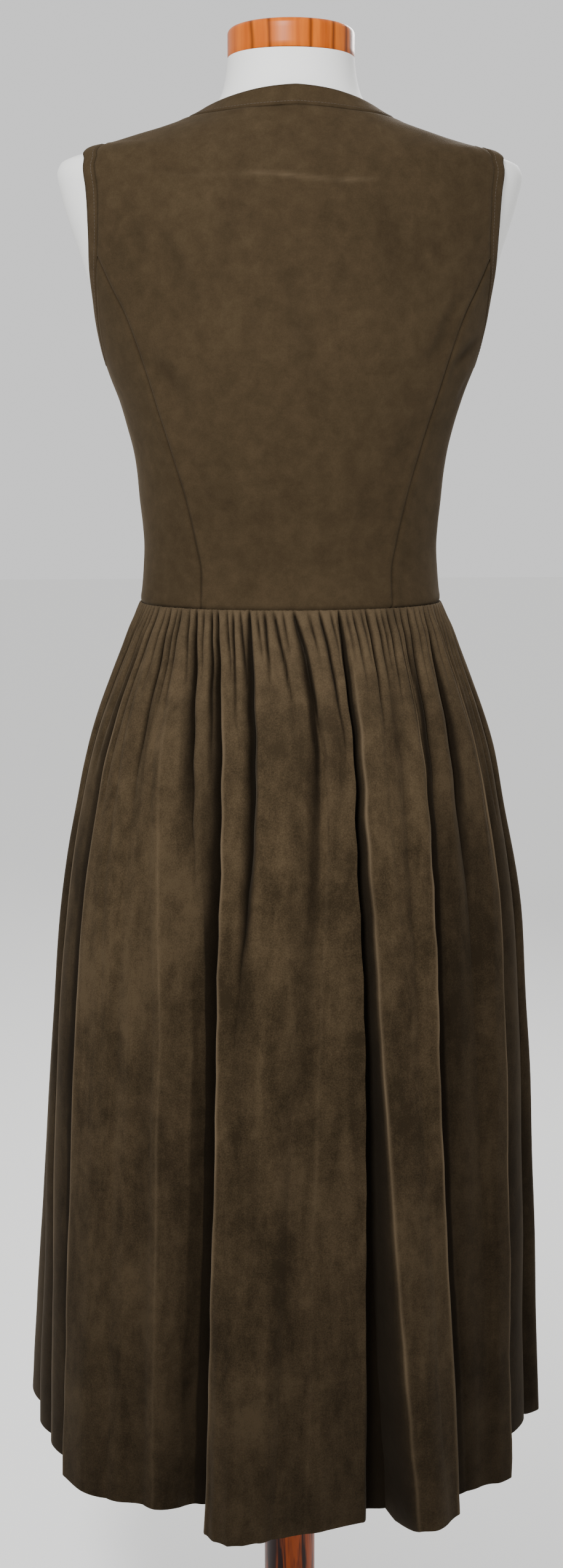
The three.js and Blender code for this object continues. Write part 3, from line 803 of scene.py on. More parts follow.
@dataclass(frozen=True)
class RubMark:
    """The faint level rub mark across the shoulder blades, longer and fainter towards the wearer's left."""

    height: float = 1389.0
    slope: float = 0.028
    wobble: float = 1.5
    wobble_length: float = 17.0
    width: float = 1.9
    left_end: float = 49.0
    left_fade: float = 14.0
    right_end: float = -64.0
    right_fade: float = 20.0
    faint: float = 0.22
    faint_start: float = 30.0
    faint_end: float = 138.0
    faint_fade: float = 20.0
    patchiness: float = 0.4
    short_patch: float = 5.3
    long_patch: float = 11.0

    def strength(self, grid: Array) -> Array:
        """How strongly it shows.

        Args:
            grid: Points in millimetres.

        Returns:
            A share from 0 to 1 for each point.
        """
        x, y, z = grid[..., 0], grid[..., 1], grid[..., 2]
        drop = z - (self.height + self.slope * x + self.wobble * np.sin(x / self.wobble_length))
        left = np.clip((self.left_end - x) / self.left_fade, 0, 1)
        right = np.clip((x - self.right_end) / self.right_fade, 0, 1)
        starting = np.clip((x - self.faint_start) / self.faint_start, 0, 1)
        ending = np.clip((self.faint_end - x) / self.faint_fade, 0, 1)
        patches = np.sin(x / self.short_patch) * np.sin(x / self.long_patch + 1)
        patchy = 1 - self.patchiness + self.patchiness * patches
        along = left * right + self.faint * ending * starting
        return np.where(y > 0, bell(drop, self.width) * along * patchy, 0)


@dataclass(frozen=True)
class BandShape:
    """How a band is domed, and how much painted shade it gets, from its seam to its free edge."""

    shares: tuple[float, ...] = (0.06, 0.14, 0.3, 0.5, 0.7, 0.84, 0.93, 1.0)
    tuck: float = 0.2
    seam_drop: float = 0.7
    seam_width: float = 1.1
    edge_drop: float = 0.6
    edge_width: float = 1.4
    # Painted shade along the seam and painted shadow along the free edge.
    seam_shade: float = 0.3
    seam_shade_width: float = 1.4
    edge_shade: float = 0.7
    edge_shade_width: float = 0.9
    easing: int = 24

    def crown(self, from_seam: Array, from_edge: Array) -> Array:
        """How far it stands out, from its distances to the seam and to the free edge."""
        by_seam = self.seam_drop * bell(from_seam, self.seam_width)
        return -by_seam - self.edge_drop * bell(from_edge, self.edge_width)

    def shade(self, from_seam: Array, from_edge: Array) -> Array:
        """How much painted shade it gets, from its distances to the seam and to the free edge: some along the
        seam and a painted shadow at the free edge.
        """
        by_seam = self.seam_shade * bell(from_seam, self.seam_shade_width)
        return by_seam + self.edge_shade * bell(from_edge, self.edge_shade_width)


@dataclass
class Bodice:
    """Princess-seamed bodice with a neck band and armhole bands."""

    body: BodyShape
    cloth: Material
    thread: Material
    waist_height: float = 1060.0
    ease: float = 2.3
    cloth_thickness: float = 1.5
    band_thickness: float = 1.9
    neck_band_width: float = 18.0
    armhole_band_width: float = 10.0
    columns: int = 88
    side_columns: int = 34
    rows_below: int = 86
    rows_at_arm: int = 44
    rows_at_shoulder: int = 15
    side_rows_below: int = 64
    side_rows_at_arm: int = 30
    seam_samples: int = 24
    band_samples: int = 7
    neck_corner: float = 30.0
    neck_samples: tuple[int, int] = (60, 110)
    meeting_row: int = 6
    tip_drop: float = 0.8
    neck_pull: int = 4
    edge_hold: int = 6
    groove: SeamGroove = SeamGroove()
    rub: RubMark = RubMark()
    band_shape: BandShape = BandShape()
    wave_depth: float = 0.35
    wave_length: float = 46.0
    wave_seed: int = 5
    deepest: float = 1.7
    inner_share: float = 0.93
    # Painted shade: darker colour in the seam grooves and creases and on the side panels; middle_low alone is
    # a plain darker tone.
    groove_shade: float = 0.5
    crease_shade: float = 0.16
    crease_limit: float = 2.0
    crease_extra_shade: float = 0.12
    middle_low: float = 0.1
    side_panel_shade: float = 0.2
    stitch_sink: float = 0.05
    stitch_inset: float = 2.2
    neck_seam: tuple[Pair, ...] = (
        # turn, height
        (0, 1336), (5, 1340.5), (11, 1352.5), (16, 1370), (19.4, 1391), (21.1, 1400), (22.9, 1408),
        (24.7, 1412), (27.2, 1415), (29.6, 1417), (33.9, 1421), (40.4, 1426), (50.3, 1431), (66.2, 1436),
        (90, 1439), (125, 1439.5), (145, 1440.5), (160, 1442), (180, 1444),
    )
    armhole_seam: tuple[Triple, ...] = (
        # height, distance behind and before the side line
        (1251.5, 0, 0), (1254, 9, 15), (1260, 14.5, 27), (1270, 19, 38), (1285, 25, 46),
        (1307, 34, 52), (1334, 46, 55.5), (1360, 53, 56), (1383, 54.5, 53), (1399, 52.5, 48.5),
        (1407, 50.6, 45), (1413, 43.3, 38.5), (1417.2, 24, 21), (1419, 0, 0),
    )
    back_seam: tuple[Pair, ...] = (
        # height, distance from the middle
        (1060, 76.5), (1087, 76), (1112, 80), (1146, 87.5), (1185, 99), (1216, 108.5),
        (1246, 118), (1270, 126), (1290, 133.5), (1311, 144),
    )
    front_seam: tuple[Pair, ...] = (
        (1060, 66), (1110, 68), (1160, 74), (1210, 82), (1255, 91), (1290, 105), (1312, 122),
    )
    bodice_heights: tuple[float, ...] = (1078, 1100, 1122, 1145, 1168, 1190, 1212, 1232)
    shoulder_heights: tuple[float, ...] = (1422, 1428, 1434)
    front_neck_turns: tuple[float, ...] = (4.5, 8.5, 12, 15.5, 18.5, 22, 26, 31, 37.5, 44.5, 52)
    back_creases: tuple[Crease, ...] = tuple(Crease(*row) for row in (
        # from x, z to x, z, depth, width
        (118, 1262, 84, 1222, -1.4, 6), (-152, 1276, -124, 1246, -1.9, 4),
        (-146, 1246, -132, 1222, -1.7, 3.5), (-126, 1300, -108, 1262, -1.2, 4.5),
        (-128, 1280, -96, 1250, -1.2, 6), (-60, 1396, -80, 1290, -1.0, 7),
        (-104, 1352, -112, 1322, -1.1, 4), (-88, 1350, -98, 1312, -0.8, 5),
        (126, 1362, 118, 1330, -1.0, 5), (104, 1356, 76, 1288, -1.0, 6), (40, 1404, 66, 1310, -0.7, 9),
        (12, 1320, -14, 1220, -0.9, 7), (30, 1300, 40, 1262, -0.7, 5), (-34, 1330, -22, 1284, -0.7, 6),
        (-72, 1140, -20, 1128, -0.8, 6), (74, 1148, 24, 1133, -0.8, 6), (-60, 1105, 10, 1098, -0.6, 6),
        (62, 1104, 6, 1092, -0.6, 6), (-30, 1190, -46, 1090, 0.8, 8), (34, 1200, 48, 1100, 0.7, 8),
        (-96, 1210, -70, 1170, -0.8, 6),
    ))
    front_creases: tuple[Crease, ...] = tuple(Crease(*row) for row in (
        # from x, z to x, z, depth, width
        (120, 1262, 84, 1232, -1.3, 6), (-120, 1266, -82, 1238, -1.3, 6), (70, 1120, 20, 1108, -0.7, 7),
        (-66, 1130, -22, 1116, -0.7, 7), (90, 1340, 54, 1290, -0.8, 8), (-92, 1336, -58, 1284, -0.8, 8),
        (104, 1150, 98, 1084, -0.6, 6), (-104, 1156, -99, 1090, -0.6, 6),
    ))

    def __post_init__(self) -> None:
        """Works out the lines that the panels share."""
        neck = np.array(self.neck_seam)
        self.neck_height = SmoothCurve(neck[:, 0], neck[:, 1])
        self.armhole = {side: self.armhole_line(side) for side in Side}
        self.underarm = self.armhole_seam[0][0]
        self.meeting_height = self.armhole_seam[self.meeting_row][0]
        self.tip_height = self.meeting_height - self.tip_drop
        self.seam_turn = {Side.BEHIND: self.curved_seam(self.back_seam, Side.BEHIND),
                          Side.BEFORE: self.curved_seam(self.front_seam, Side.BEFORE)}
        steps = np.linspace(self.underarm, self.tip_height, self.meeting_row + 1)
        self.seam_heights = np.array([self.waist_height, *self.bodice_heights, *steps])
        self.arm_rows = len(self.armhole_seam) - 1 - self.meeting_row
        self.last_row = len(self.seam_heights) + self.arm_rows + len(self.shoulder_heights) + 1

    def armhole_line(self, side: Side) -> Array:
        """Places of the armhole seam on one half, from the underarm up to the shoulder.

        Args:
            side: Behind or before the arm.

        Returns:
            The places.
        """
        table = np.array(self.armhole_seam)
        height = table[:, 0]
        away = table[:, 1 if side is Side.BEHIND else 2]
        depth = self.body.behind(height) if side is Side.BEHIND else self.body.before(height)
        sway = np.degrees(np.arcsin((away / depth) ** (self.body.squareness / 2)))
        return places(90 + sway if side is Side.BEHIND else 90 - sway, height)

    def armhole_loop(self, per_row: int) -> Array:
        """The whole armhole seam as a smooth loop.

        Args:
            per_row: Samples between two table rows.

        Returns:
            Places, up behind the arm and down before it.
        """
        knots = np.concatenate([self.armhole[Side.BEHIND], self.armhole[Side.BEFORE][-2:0:-1]])
        points = self.body.point(knots)
        gaps = np.linalg.norm(np.roll(points, -1, 0) - points, axis=1)
        before_gap = np.roll(gaps, 1)[:, None]
        ahead = (np.roll(knots, -1, 0) - knots) / gaps[:, None]
        behind = (knots - np.roll(knots, 1, 0)) / before_gap
        tangent = (ahead * before_gap + behind * gaps[:, None]) / (before_gap + gaps[:, None])
        rows = []
        for i in range(len(knots)):
            j = (i + 1) % len(knots)
            t = (np.arange(per_row) / per_row)[:, None]
            start = (1 - t) ** 2 * ((1 + 2 * t) * knots[i] + t * gaps[i] * tangent[i])
            end = t ** 2 * ((3 - 2 * t) * knots[j] - (1 - t) * gaps[i] * tangent[j])
            rows.append(start + end)
        return np.concatenate(rows)

    def on_armhole(self, side: Side, rows: Array) -> Array:
        """Places on the armhole seam at given table rows.

        Args:
            side: Behind or before the arm.
            rows: Table rows, with fractions.

        Returns:
            The places.
        """
        per_row = self.seam_samples
        loop = self.armhole_loop(per_row)
        last = len(self.armhole_seam) - 1
        if side is Side.BEHIND:
            line = loop[: last * per_row + 1]
        else:
            line = np.concatenate([loop[last * per_row:], loop[:1]])[::-1]
        index = np.clip(np.asarray(rows, float) * per_row, 0, last * per_row)
        grid = np.arange(len(line))
        return places(np.interp(index, grid, line[:, 0]), np.interp(index, grid, line[:, 1]))

    def curved_seam(self, rows: tuple[Pair, ...], side: Side) -> Callable[[Array], Array]:
        """The turn of a princess seam at any height.

        Args:
            rows: Heights and distances from the middle.
            side: The half of the body it lies on.

        Returns:
            A function from heights to turns.
        """
        meeting = self.armhole[side][self.meeting_row]
        end = (meeting[1], float(self.body.lifted(meeting, self.ease)[0]))
        table = np.array([*rows, end])
        across = SmoothCurve(table[:, 0], table[:, 1])

        def turn(height: Array) -> Array:
            """Turn of the seam at a height.

            Args:
                height: The height.

            Returns:
                The turn.
            """
            sine = (across(height) / (self.body.side(height) + self.ease)) ** (self.body.squareness / 2)
            angle = np.degrees(np.arcsin(sine))
            return 180 - angle if side is Side.BEHIND else angle

        return turn

    def rows_of_points(self) -> Array:
        """Row numbers of a middle panel, with fractions, closer where the edge turns.

        Returns:
            The row numbers, rising.
        """
        meeting = len(self.seam_heights)
        shoulder = meeting + self.arm_rows
        lower = np.linspace(0, meeting, self.rows_below)[:-1]
        upper = np.linspace(meeting, shoulder, self.rows_at_arm)[:-1]
        return np.concatenate([lower, upper, np.linspace(shoulder, self.last_row, self.rows_at_shoulder)])

    def outer_edge(self, side: Side, rows: Array) -> Array:
        """The edge of a middle panel: princess seam, armhole, shoulder seam.

        Args:
            side: The half of the body.
            rows: Row numbers with fractions.

        Returns:
            Places.
        """
        meeting = len(self.seam_heights)
        shoulder = [self.armhole_seam[-1][0], *self.shoulder_heights, float(self.neck_height(90))]
        low_height = np.interp(rows, np.arange(meeting + 1), [*self.seam_heights, self.meeting_height])
        low = places(self.seam_turn[side](low_height), low_height)
        high = self.on_armhole(side, rows - meeting + self.meeting_row)
        top_rows = np.arange(len(shoulder)) + meeting + self.arm_rows
        top = places(90.0, np.interp(rows, top_rows, shoulder))
        inside = (rows < meeting)[:, None]
        above = (rows > meeting + self.arm_rows)[:, None]
        return np.where(inside, low, np.where(above, top, high))

    def across(self, start: Array, end: Array, columns: int, crowd: float = 0.075) -> tuple[Array, Array]:
        """Rows of places between two lines, closer together near both.

        Args:
            start: Places at one side.
            end: Places at the other side.
            columns: Steps between them.
            crowd: How much closer they lie near the sides.

        Returns:
            The grid of places and the share of the way of each column.
        """
        i = np.arange(columns + 1) / columns
        share = i - crowd * np.sin(2 * np.pi * i)
        return start[:, None] + (end - start)[:, None] * share[None, :, None], share

    def dip(self, grid: Array, along: Sequence[tuple[int, int]]) -> Array:
        """The groove of a seam along some sides of a grid, with its pressed allowance.

        Args:
            grid: Points in millimetres.
            along: Pairs of axis and end, 0 or -1, of each side with a seam.

        Returns:
            A distance for each point.
        """
        total = np.zeros(grid.shape[:2])
        for axis, end in along:
            steps = np.linalg.norm(np.diff(grid, axis=axis), axis=2)
            distance = np.zeros(grid.shape[:2])
            if axis == 1:
                distance[:, 1:] = np.cumsum(steps, axis=1)
                distance = distance if end == 0 else distance[:, -1:] - distance
            else:
                distance[1:] = np.cumsum(steps, axis=0)
                distance = distance if end == 0 else distance[-1:] - distance
            total += self.groove.profile(distance)
        return total

    def panel(self, name: str, line: Array, seams: Sequence[tuple[int, int]], creases: Sequence[Crease],
              low: float) -> Piece:
        """Makes a panel of the bodice.

        Args:
            name: Its name.
            line: Grid of places.
            seams: Sides that are sewn.
            creases: Its soft creases.
            low: How much darker its colour is made: a plain darker tone on the middle panels, painted shade
                on the side panels.

        Returns:
            The panel.
        """
        thickness = self.cloth_thickness
        flat = self.body.lifted(line, self.ease + thickness)
        dip = self.dip(flat, seams)
        creased = sum((crease.lift(flat) for crease in creases), np.zeros(dip.shape))
        relief = dip + creased + self.wave_depth * soft_waves(flat, self.wave_length, self.wave_seed)
        relief = np.maximum(relief, -self.deepest)
        outer = flat + self.body.normal(line) * relief[..., None]
        inner = outer - self.body.normal(line) * (thickness * self.inner_share)
        # Painted shade in the seam grooves and creases, and through the low mark in the creases and side
        # panels; rub is the real rub mark.
        groove = np.clip(-dip / self.groove.depth, 0, 1)
        shaded = self.groove_shade * groove + self.crease_shade * np.clip(-creased, 0, self.crease_limit)
        marks = {"hollow": np.clip(shaded, 0, 1), "rub": self.rub.strength(flat),
                 "low": np.clip(low - self.crease_extra_shade * creased, 0, 1)}
        return Wall(outer, inner, marks=marks).build(name, self.cloth)

    def back_panel(self) -> Array:
        """Grid of places of the whole back between its two princess seams.

        Returns:
            The grid, a row for each level.
        """
        rows = self.rows_of_points()
        meeting = len(self.seam_heights)
        edge = self.outer_edge(Side.BEHIND, rows)
        grid, _ = self.across(edge, mirror(edge), self.columns)
        share = np.clip((rows - meeting) / (self.last_row - meeting), 0, 1)[:, None]
        centre = self.meeting_height + share * (float(self.neck_height(180)) - self.meeting_height)
        aside = np.abs((grid[..., 0] - 180) / (edge[:, :1] - 180))
        eased = centre + aside ** 2 * (3 - 2 * aside) * (edge[:, 1:] - centre)
        turn = grid[..., 0]
        neck = self.neck_height(np.minimum(turn, 360 - turn))
        top = eased + share ** self.neck_pull * (1 - aside ** self.edge_hold) * (neck - eased)
        return places(turn, np.where(rows[:, None] <= meeting, grid[..., 1], top))

    def front_panel(self) -> Array:
        """Grid of places of the left front, from the centre front to its princess seam.

        Returns:
            The grid, a row for each level.
        """
        rows = self.rows_of_points()
        meeting = len(self.seam_heights)
        edge = self.outer_edge(Side.BEFORE, rows)
        start_height = np.interp(rows, np.arange(meeting + 1), [*self.seam_heights, self.neck_seam[0][1]])
        turns = SmoothCurve(np.arange(meeting, self.last_row + 1), [0, *self.front_neck_turns])
        start_turn = np.where(rows <= meeting, 0, turns(rows))
        start = places(start_turn, np.where(rows <= meeting, start_height, self.neck_height(start_turn)))
        grid, share = self.across(start, edge, self.columns // 2)
        rest = 1 - share[None, :]
        height = edge[:, 1:] + rest ** 2 * (start[:, 1:] - edge[:, 1:])
        upper = np.clip((rows - meeting) / (self.last_row - meeting), 0, 1)[:, None]
        pull = upper ** self.neck_pull * (1 - share[None, :] ** self.edge_hold)
        height = height + pull * (self.neck_height(grid[..., 0]) - height)
        return places(grid[..., 0], height)

    def side_panel(self, side: Side) -> Array:
        """Grid of places between a princess seam and the side seam or the armhole.

        Args:
            side: The half of the body.

        Returns:
            The grid, a row for each level.
        """
        meeting = len(self.seam_heights)
        below = meeting - 1 - self.meeting_row
        rows = np.concatenate([np.linspace(0, below, self.side_rows_below)[:-1],
                               np.linspace(below, meeting - 1, self.side_rows_at_arm)])
        height = np.interp(rows, np.arange(meeting), self.seam_heights)
        inner = places(self.seam_turn[side](height), height)
        before_tip = self.meeting_row - 1
        last_step = self.meeting_height - self.armhole_seam[before_tip][0]
        tip_row = self.meeting_row - self.tip_drop / last_step
        shares = np.clip(rows - below, 0, self.meeting_row)
        near_tip = before_tip + (shares - before_tip) * (tip_row - before_tip)
        arm = self.on_armhole(side, np.where(shares > before_tip, near_tip, shares))
        outer = np.where((rows <= below)[:, None], places(90.0, height), arm)
        return self.across(inner, outer, self.side_columns)[0]

    def neck_line(self) -> Array:
        """The neck seam from the centre front round to it again.

        Returns:
            The places, the first and the last at the centre front.
        """
        steps_before, steps_behind = self.neck_samples
        turns = np.concatenate([np.linspace(0, self.neck_corner, steps_before)[:-1],
                                np.linspace(self.neck_corner, 180, steps_behind)])
        half = places(turns, self.neck_height(turns))
        return np.concatenate([half, mirror(half)[-2::-1]])

    def band(self, name: str, line: Array, width: float, looped: bool) -> Piece:
        """Makes a band along a seam, a little domed.

        Args:
            name: Its name.
            line: The seam that it is sewn to.
            width: Its width.
            looped: Whether it closes on itself.

        Returns:
            The band.
        """
        shape = self.band_shape
        shares = np.array([-shape.tuck / width, *shape.shares])
        grid = np.stack([self.body.beside(line, -(share * width), looped) for share in shares])
        if looped:
            passes = [round(shape.easing * max(share, 0)) for share in shares]
            grid = np.stack([eased_loop(row, count) for row, count in zip(grid, passes)])
        else:
            grid[:, 0, 0] = 0
            grid[:, -1, 0] = 360
        from_seam, from_edge = (shares * width)[:, None], ((1 - shares) * width)[:, None]
        outer = self.body.lifted(grid, self.ease + self.band_thickness + shape.crown(from_seam, from_edge))
        inner = self.body.lifted(grid, self.ease)
        if line[0, 0] > 180:
            outer, inner = outer[:, ::-1], inner[:, ::-1]
        # Painted shade along the band's seam and painted shadow along its free edge.
        shade = np.broadcast_to(shape.shade(from_seam, from_edge), grid.shape[:2])
        return Wall(outer, inner, looped, {"hollow": shade}).build(name, self.cloth)

    def stitches(self, name: str, line: Array, looped: bool) -> Piece:
        """Sews a row of fine stitches along a line of places and gives it as one mesh."""
        path = self.body.lifted(line, self.ease + self.band_thickness - self.stitch_sink)
        return StitchRow(self.thread).sew(name, path, looped)

    def build(self) -> list[Piece]:
        """Builds every piece of the bodice.

        Returns:
            The pieces, named after their nodes.
        """
        sides = [(1, 0), (1, -1), (0, 0)]
        pieces = [self.panel("bodice_back", self.back_panel(), [*sides, (0, -1)], self.back_creases,
                             self.middle_low)]
        both = ((Side.BEHIND, "side_back", self.back_creases),
                (Side.BEFORE, "side_front", self.front_creases))
        for side, name, creases in both:
            grid = self.side_panel(side)
            for hand, line in ((Hand.LEFT, grid), (Hand.RIGHT, mirror(grid))):
                pieces.append(self.panel(f"{name}_{hand.value}", line, sides, creases, self.side_panel_shade))
        grid = self.front_panel()
        for hand, line in ((Hand.LEFT, grid), (Hand.RIGHT, mirror(grid))):
            pieces.append(self.panel(f"bodice_front_{hand.value}", line, sides, self.front_creases,
                                     self.middle_low))
        pieces.append(self.band("neck_band", self.neck_line(), self.neck_band_width, False))
        loop = self.armhole_loop(self.band_samples)
        pieces.append(self.band("armhole_band_left", loop, self.armhole_band_width, True))
        pieces.append(self.band("armhole_band_right", mirror(loop)[::-1], self.armhole_band_width, True))
        return pieces

    def sewing(self) -> list[tuple[Piece, str]]:
        """Sews the bands' stitch rows.

        Returns:
            Pairs of a stitch row and the piece that it lies on.
        """
        neck = self.body.beside(self.neck_line(), -self.stitch_inset)
        loop = self.armhole_loop(self.band_samples)
        left = self.body.beside(loop, -self.stitch_inset, True)
        return [(self.stitches("neck_band_stitches", neck, False), "neck_band"),
                (self.stitches("armhole_stitches_left", left, True), "armhole_band_left"),
                (self.stitches("armhole_stitches_right", mirror(left), True), "armhole_band_right")]


def eased_loop(line: Array, passes: int) -> Array:
    """A loop of places with its tight turns eased.

    Args:
        line: Places round the loop.
        passes: How often it is eased.

    Returns:
        The eased places.
    """
    for _ in range(passes):
        line = (np.roll(line, 1, 0) + 2 * line + np.roll(line, -1, 0)) / 4
    return line


def soft_waves(grid: Array, length: float, seed: int, count: int = 9, upright: float = 0.8,
               lengths: Pair = (0.6, 1.5), start_range: float = 6.28) -> Array:
    """Gentle unevenness that flows over a grid of points.

    Args:
        grid: Points in millimetres.
        length: Rough length of a wave.
        seed: Start of its random directions.
        count: How many waves are added up.
        upright: How much they run up and down.
        lengths: Range of the factors by which they are shorter than the length.
        start_range: Range of their starting angles in radians.

    Returns:
        Values from about -1 to 1.
    """
    dice = random.Random(seed)
    total = np.zeros(grid.shape[:-1])
    for _ in range(count):
        way = np.array([dice.gauss(0, 1), dice.gauss(0, 1), dice.gauss(0, upright)])
        way = way / np.linalg.norm(way) * (2 * math.pi / length) * dice.uniform(*lengths)
        total += np.sin(grid @ way + dice.uniform(0, start_range))
    return total / (count * HALF)


@dataclass
class StitchRow:
    """A row of short thread stitches along a path, made by Geometry Nodes."""

    thread: Material
    pitch: float = 2.6
    length: float = 1.9
    radius: float = 0.22
    sides: int = 6
    smallest: float = 0.88
    largest: float = 1.06
    seed: int = 4

    def tree(self) -> Tree:
        """Builds the node tree that repeats a stitch along a path.

        Returns:
            The tree, with inputs for pitch, length, radius and thread.
        """
        group = bpy.data.node_groups.new("stitch_row", "GeometryNodeTree")
        face = group.interface
        face.new_socket("Path", in_out="INPUT", socket_type="NodeSocketGeometry")
        for name in ("Pitch", "Length", "Radius"):
            face.new_socket(name, in_out="INPUT", socket_type="NodeSocketFloat")
        face.new_socket("Thread", in_out="INPUT", socket_type="NodeSocketMaterial")
        face.new_socket("Stitches", in_out="OUTPUT", socket_type="NodeSocketGeometry")
        nodes, link = group.nodes, group.links.new
        start, end = nodes.new("NodeGroupInput"), nodes.new("NodeGroupOutput")
        curve = nodes.new("GeometryNodeMeshToCurve")
        link(start.outputs["Path"], curve.inputs["Mesh"])
        spaced = nodes.new("GeometryNodeCurveToPoints")
        spaced.mode = "LENGTH"
        link(curve.outputs["Curve"], spaced.inputs["Curve"])
        link(start.outputs["Pitch"], spaced.inputs["Length"])
        stitch = nodes.new("GeometryNodeMeshCylinder")
        stitch.inputs["Vertices"].default_value = self.sides
        link(start.outputs["Radius"], stitch.inputs["Radius"])
        link(start.outputs["Length"], stitch.inputs["Depth"])
        aim = nodes.new("FunctionNodeAlignRotationToVector")
        aim.axis = "Z"
        link(spaced.outputs["Tangent"], aim.inputs["Vector"])
        sizes = nodes.new("FunctionNodeRandomValue")
        sizes.data_type = "FLOAT"
        least, most = (socket for socket in sizes.inputs if socket.enabled and socket.name in ("Min", "Max"))
        least.default_value = self.smallest
        most.default_value = self.largest
        sizes.inputs["Seed"].default_value = self.seed
        placed = nodes.new("GeometryNodeInstanceOnPoints")
        link(spaced.outputs["Points"], placed.inputs["Points"])
        link(stitch.outputs["Mesh"], placed.inputs["Instance"])
        link(aim.outputs[0], placed.inputs["Rotation"])
        link(sizes.outputs[1], placed.inputs["Scale"])
        real = nodes.new("GeometryNodeRealizeInstances")
        link(placed.outputs["Instances"], real.inputs["Geometry"])
        painted = nodes.new("GeometryNodeSetMaterial")
        link(real.outputs["Geometry"], painted.inputs["Geometry"])
        link(start.outputs["Thread"], painted.inputs["Material"])
        link(painted.outputs["Geometry"], end.inputs["Stitches"])
        return group

    def sew(self, name: str, path: Array, looped: bool) -> Piece:
        """Lays the stitches along a path.

        Args:
            name: The row's name.
            path: Points in millimetres.
            looped: Whether the path closes on itself.

        Returns:
            The stitches as a plain mesh.
        """
        mesh = bpy.data.meshes.new(name + "_path")
        count = len(path)
        edges = [(i, i + 1) for i in range(count - 1)] + ([(count - 1, 0)] if looped else [])
        mesh.from_pydata((path * METRE).tolist(), edges, [])
        guide = bpy.data.objects.new(name + "_path", mesh)
        bpy.context.scene.collection.objects.link(guide)
        modifier = guide.modifiers.new("stitches", "NODES")
        group = self.tree()
        modifier.node_group = group
        values = {"Pitch": self.pitch * METRE, "Length": self.length * METRE,
                  "Radius": self.radius * METRE, "Thread": self.thread}
        for item in group.interface.items_tree:
            if item.in_out == "INPUT" and item.name in values:
                modifier[item.identifier] = values[item.name]
        depsgraph = bpy.context.evaluated_depsgraph_get()
        made = bpy.data.meshes.new_from_object(guide.evaluated_get(depsgraph))
        made.name = name
        bpy.data.objects.remove(guide)
        row = bpy.data.objects.new(name, made)
        bpy.context.scene.collection.objects.link(row)
        return row


# Skirt


@dataclass(frozen=True)
class Fold:
    """A main fold line of the skirt: its turn at four heights and how far it stands out at three.

    Its last two values are the painted shade along it and the strength of a painted sheen highlight along its
    edge.
    """

    kind: FoldKind
    seam: float
    hip: float
    knee: float
    hem: float
    out_hip: float
    out_knee: float
    out_hem: float
    shade: float = 0.0
    edge_sheen: float = 0.0


@dataclass(frozen=True)
class Gather:
    """A gather's valley under the waist seam: its turn there, how far down it runs, and its depth."""

    turn: float
    reach: float
    depth: float
    drift: float = 0.0


@dataclass(frozen=True)
class SoftLine:
    """A soft line down the skirt: turns and depths at the seam, hip, knee and hem."""

    seam: float
    hip: float
    knee: float
    hem: float
    depth_seam: float
    depth_hip: float
    depth_knee: float
    depth_hem: float
    width: float


@dataclass(frozen=True)
class GatherShape:
    """How every gather is drawn: a bowl between its neighbours with a fine slit along its middle."""

    end_gap: float = 3.0
    drift_length: float = 100.0
    drift_turn: float = 2.2
    widening: float = 0.5
    widening_reach: float = 150.0
    bowl_power: float = 0.6
    slit_width: float = 0.42
    slit_share: float = 0.5
    slit_fade: float = 0.5
    puff: float = 1.6
    puff_reach: float = 70.0


@dataclass(frozen=True)
class Unevenness:
    """Soft unevenness of the skirt's cloth: how far it swells and sways, and over what lengths."""

    reach: float = 120.0
    upright_share: float = 0.8
    swell: float = 0.8
    swell_length: float = 75.0
    swell_seed: int = 3
    sway_length: float = 40.0
    sway_seed: int = 15


@dataclass(frozen=True)
class PaintedLightShape:
    """Painted light on the skirt: a sheen highlight along fold edges and on the gathers' puffs, painted shade
    along dark stretches, and painted shade growing towards the hem.
    """

    edge_width: float = 1.4
    edge_start: float = 40.0
    edge_range: float = 60.0
    patchiness: float = 0.3
    short_patch: float = 23.0
    long_patch: float = 61.0
    hem_share: float = 0.35
    fade_height: float = 390.0
    fade_range: float = 220.0
    steepness: int = 4
    puff_highlight: float = 0.32
    puff_reach: float = 80.0
    shade_start: float = 30.0
    shade_range: float = 170.0
    shade_share: float = 0.6
    hem_shade_top: float = 900.0
    hem_shade_range: float = 560.0
    hem_shade_power: float = 1.3


@dataclass(frozen=True)
class PaintedHollowShade:
    """Painted shade on cloth that lies deep between or beside higher cloth, stronger near the waist."""

    reach: int = 14
    waist_start: float = 890.0
    waist_range: float = 120.0
    between: float = 0.12
    between_at_waist: float = 0.18
    beside: float = 0.012
    beside_at_waist: float = 0.013
    least: float = 0.1
    hem_share: float = 0.45
    fade_height: float = 380.0
    fade_range: float = 200.0


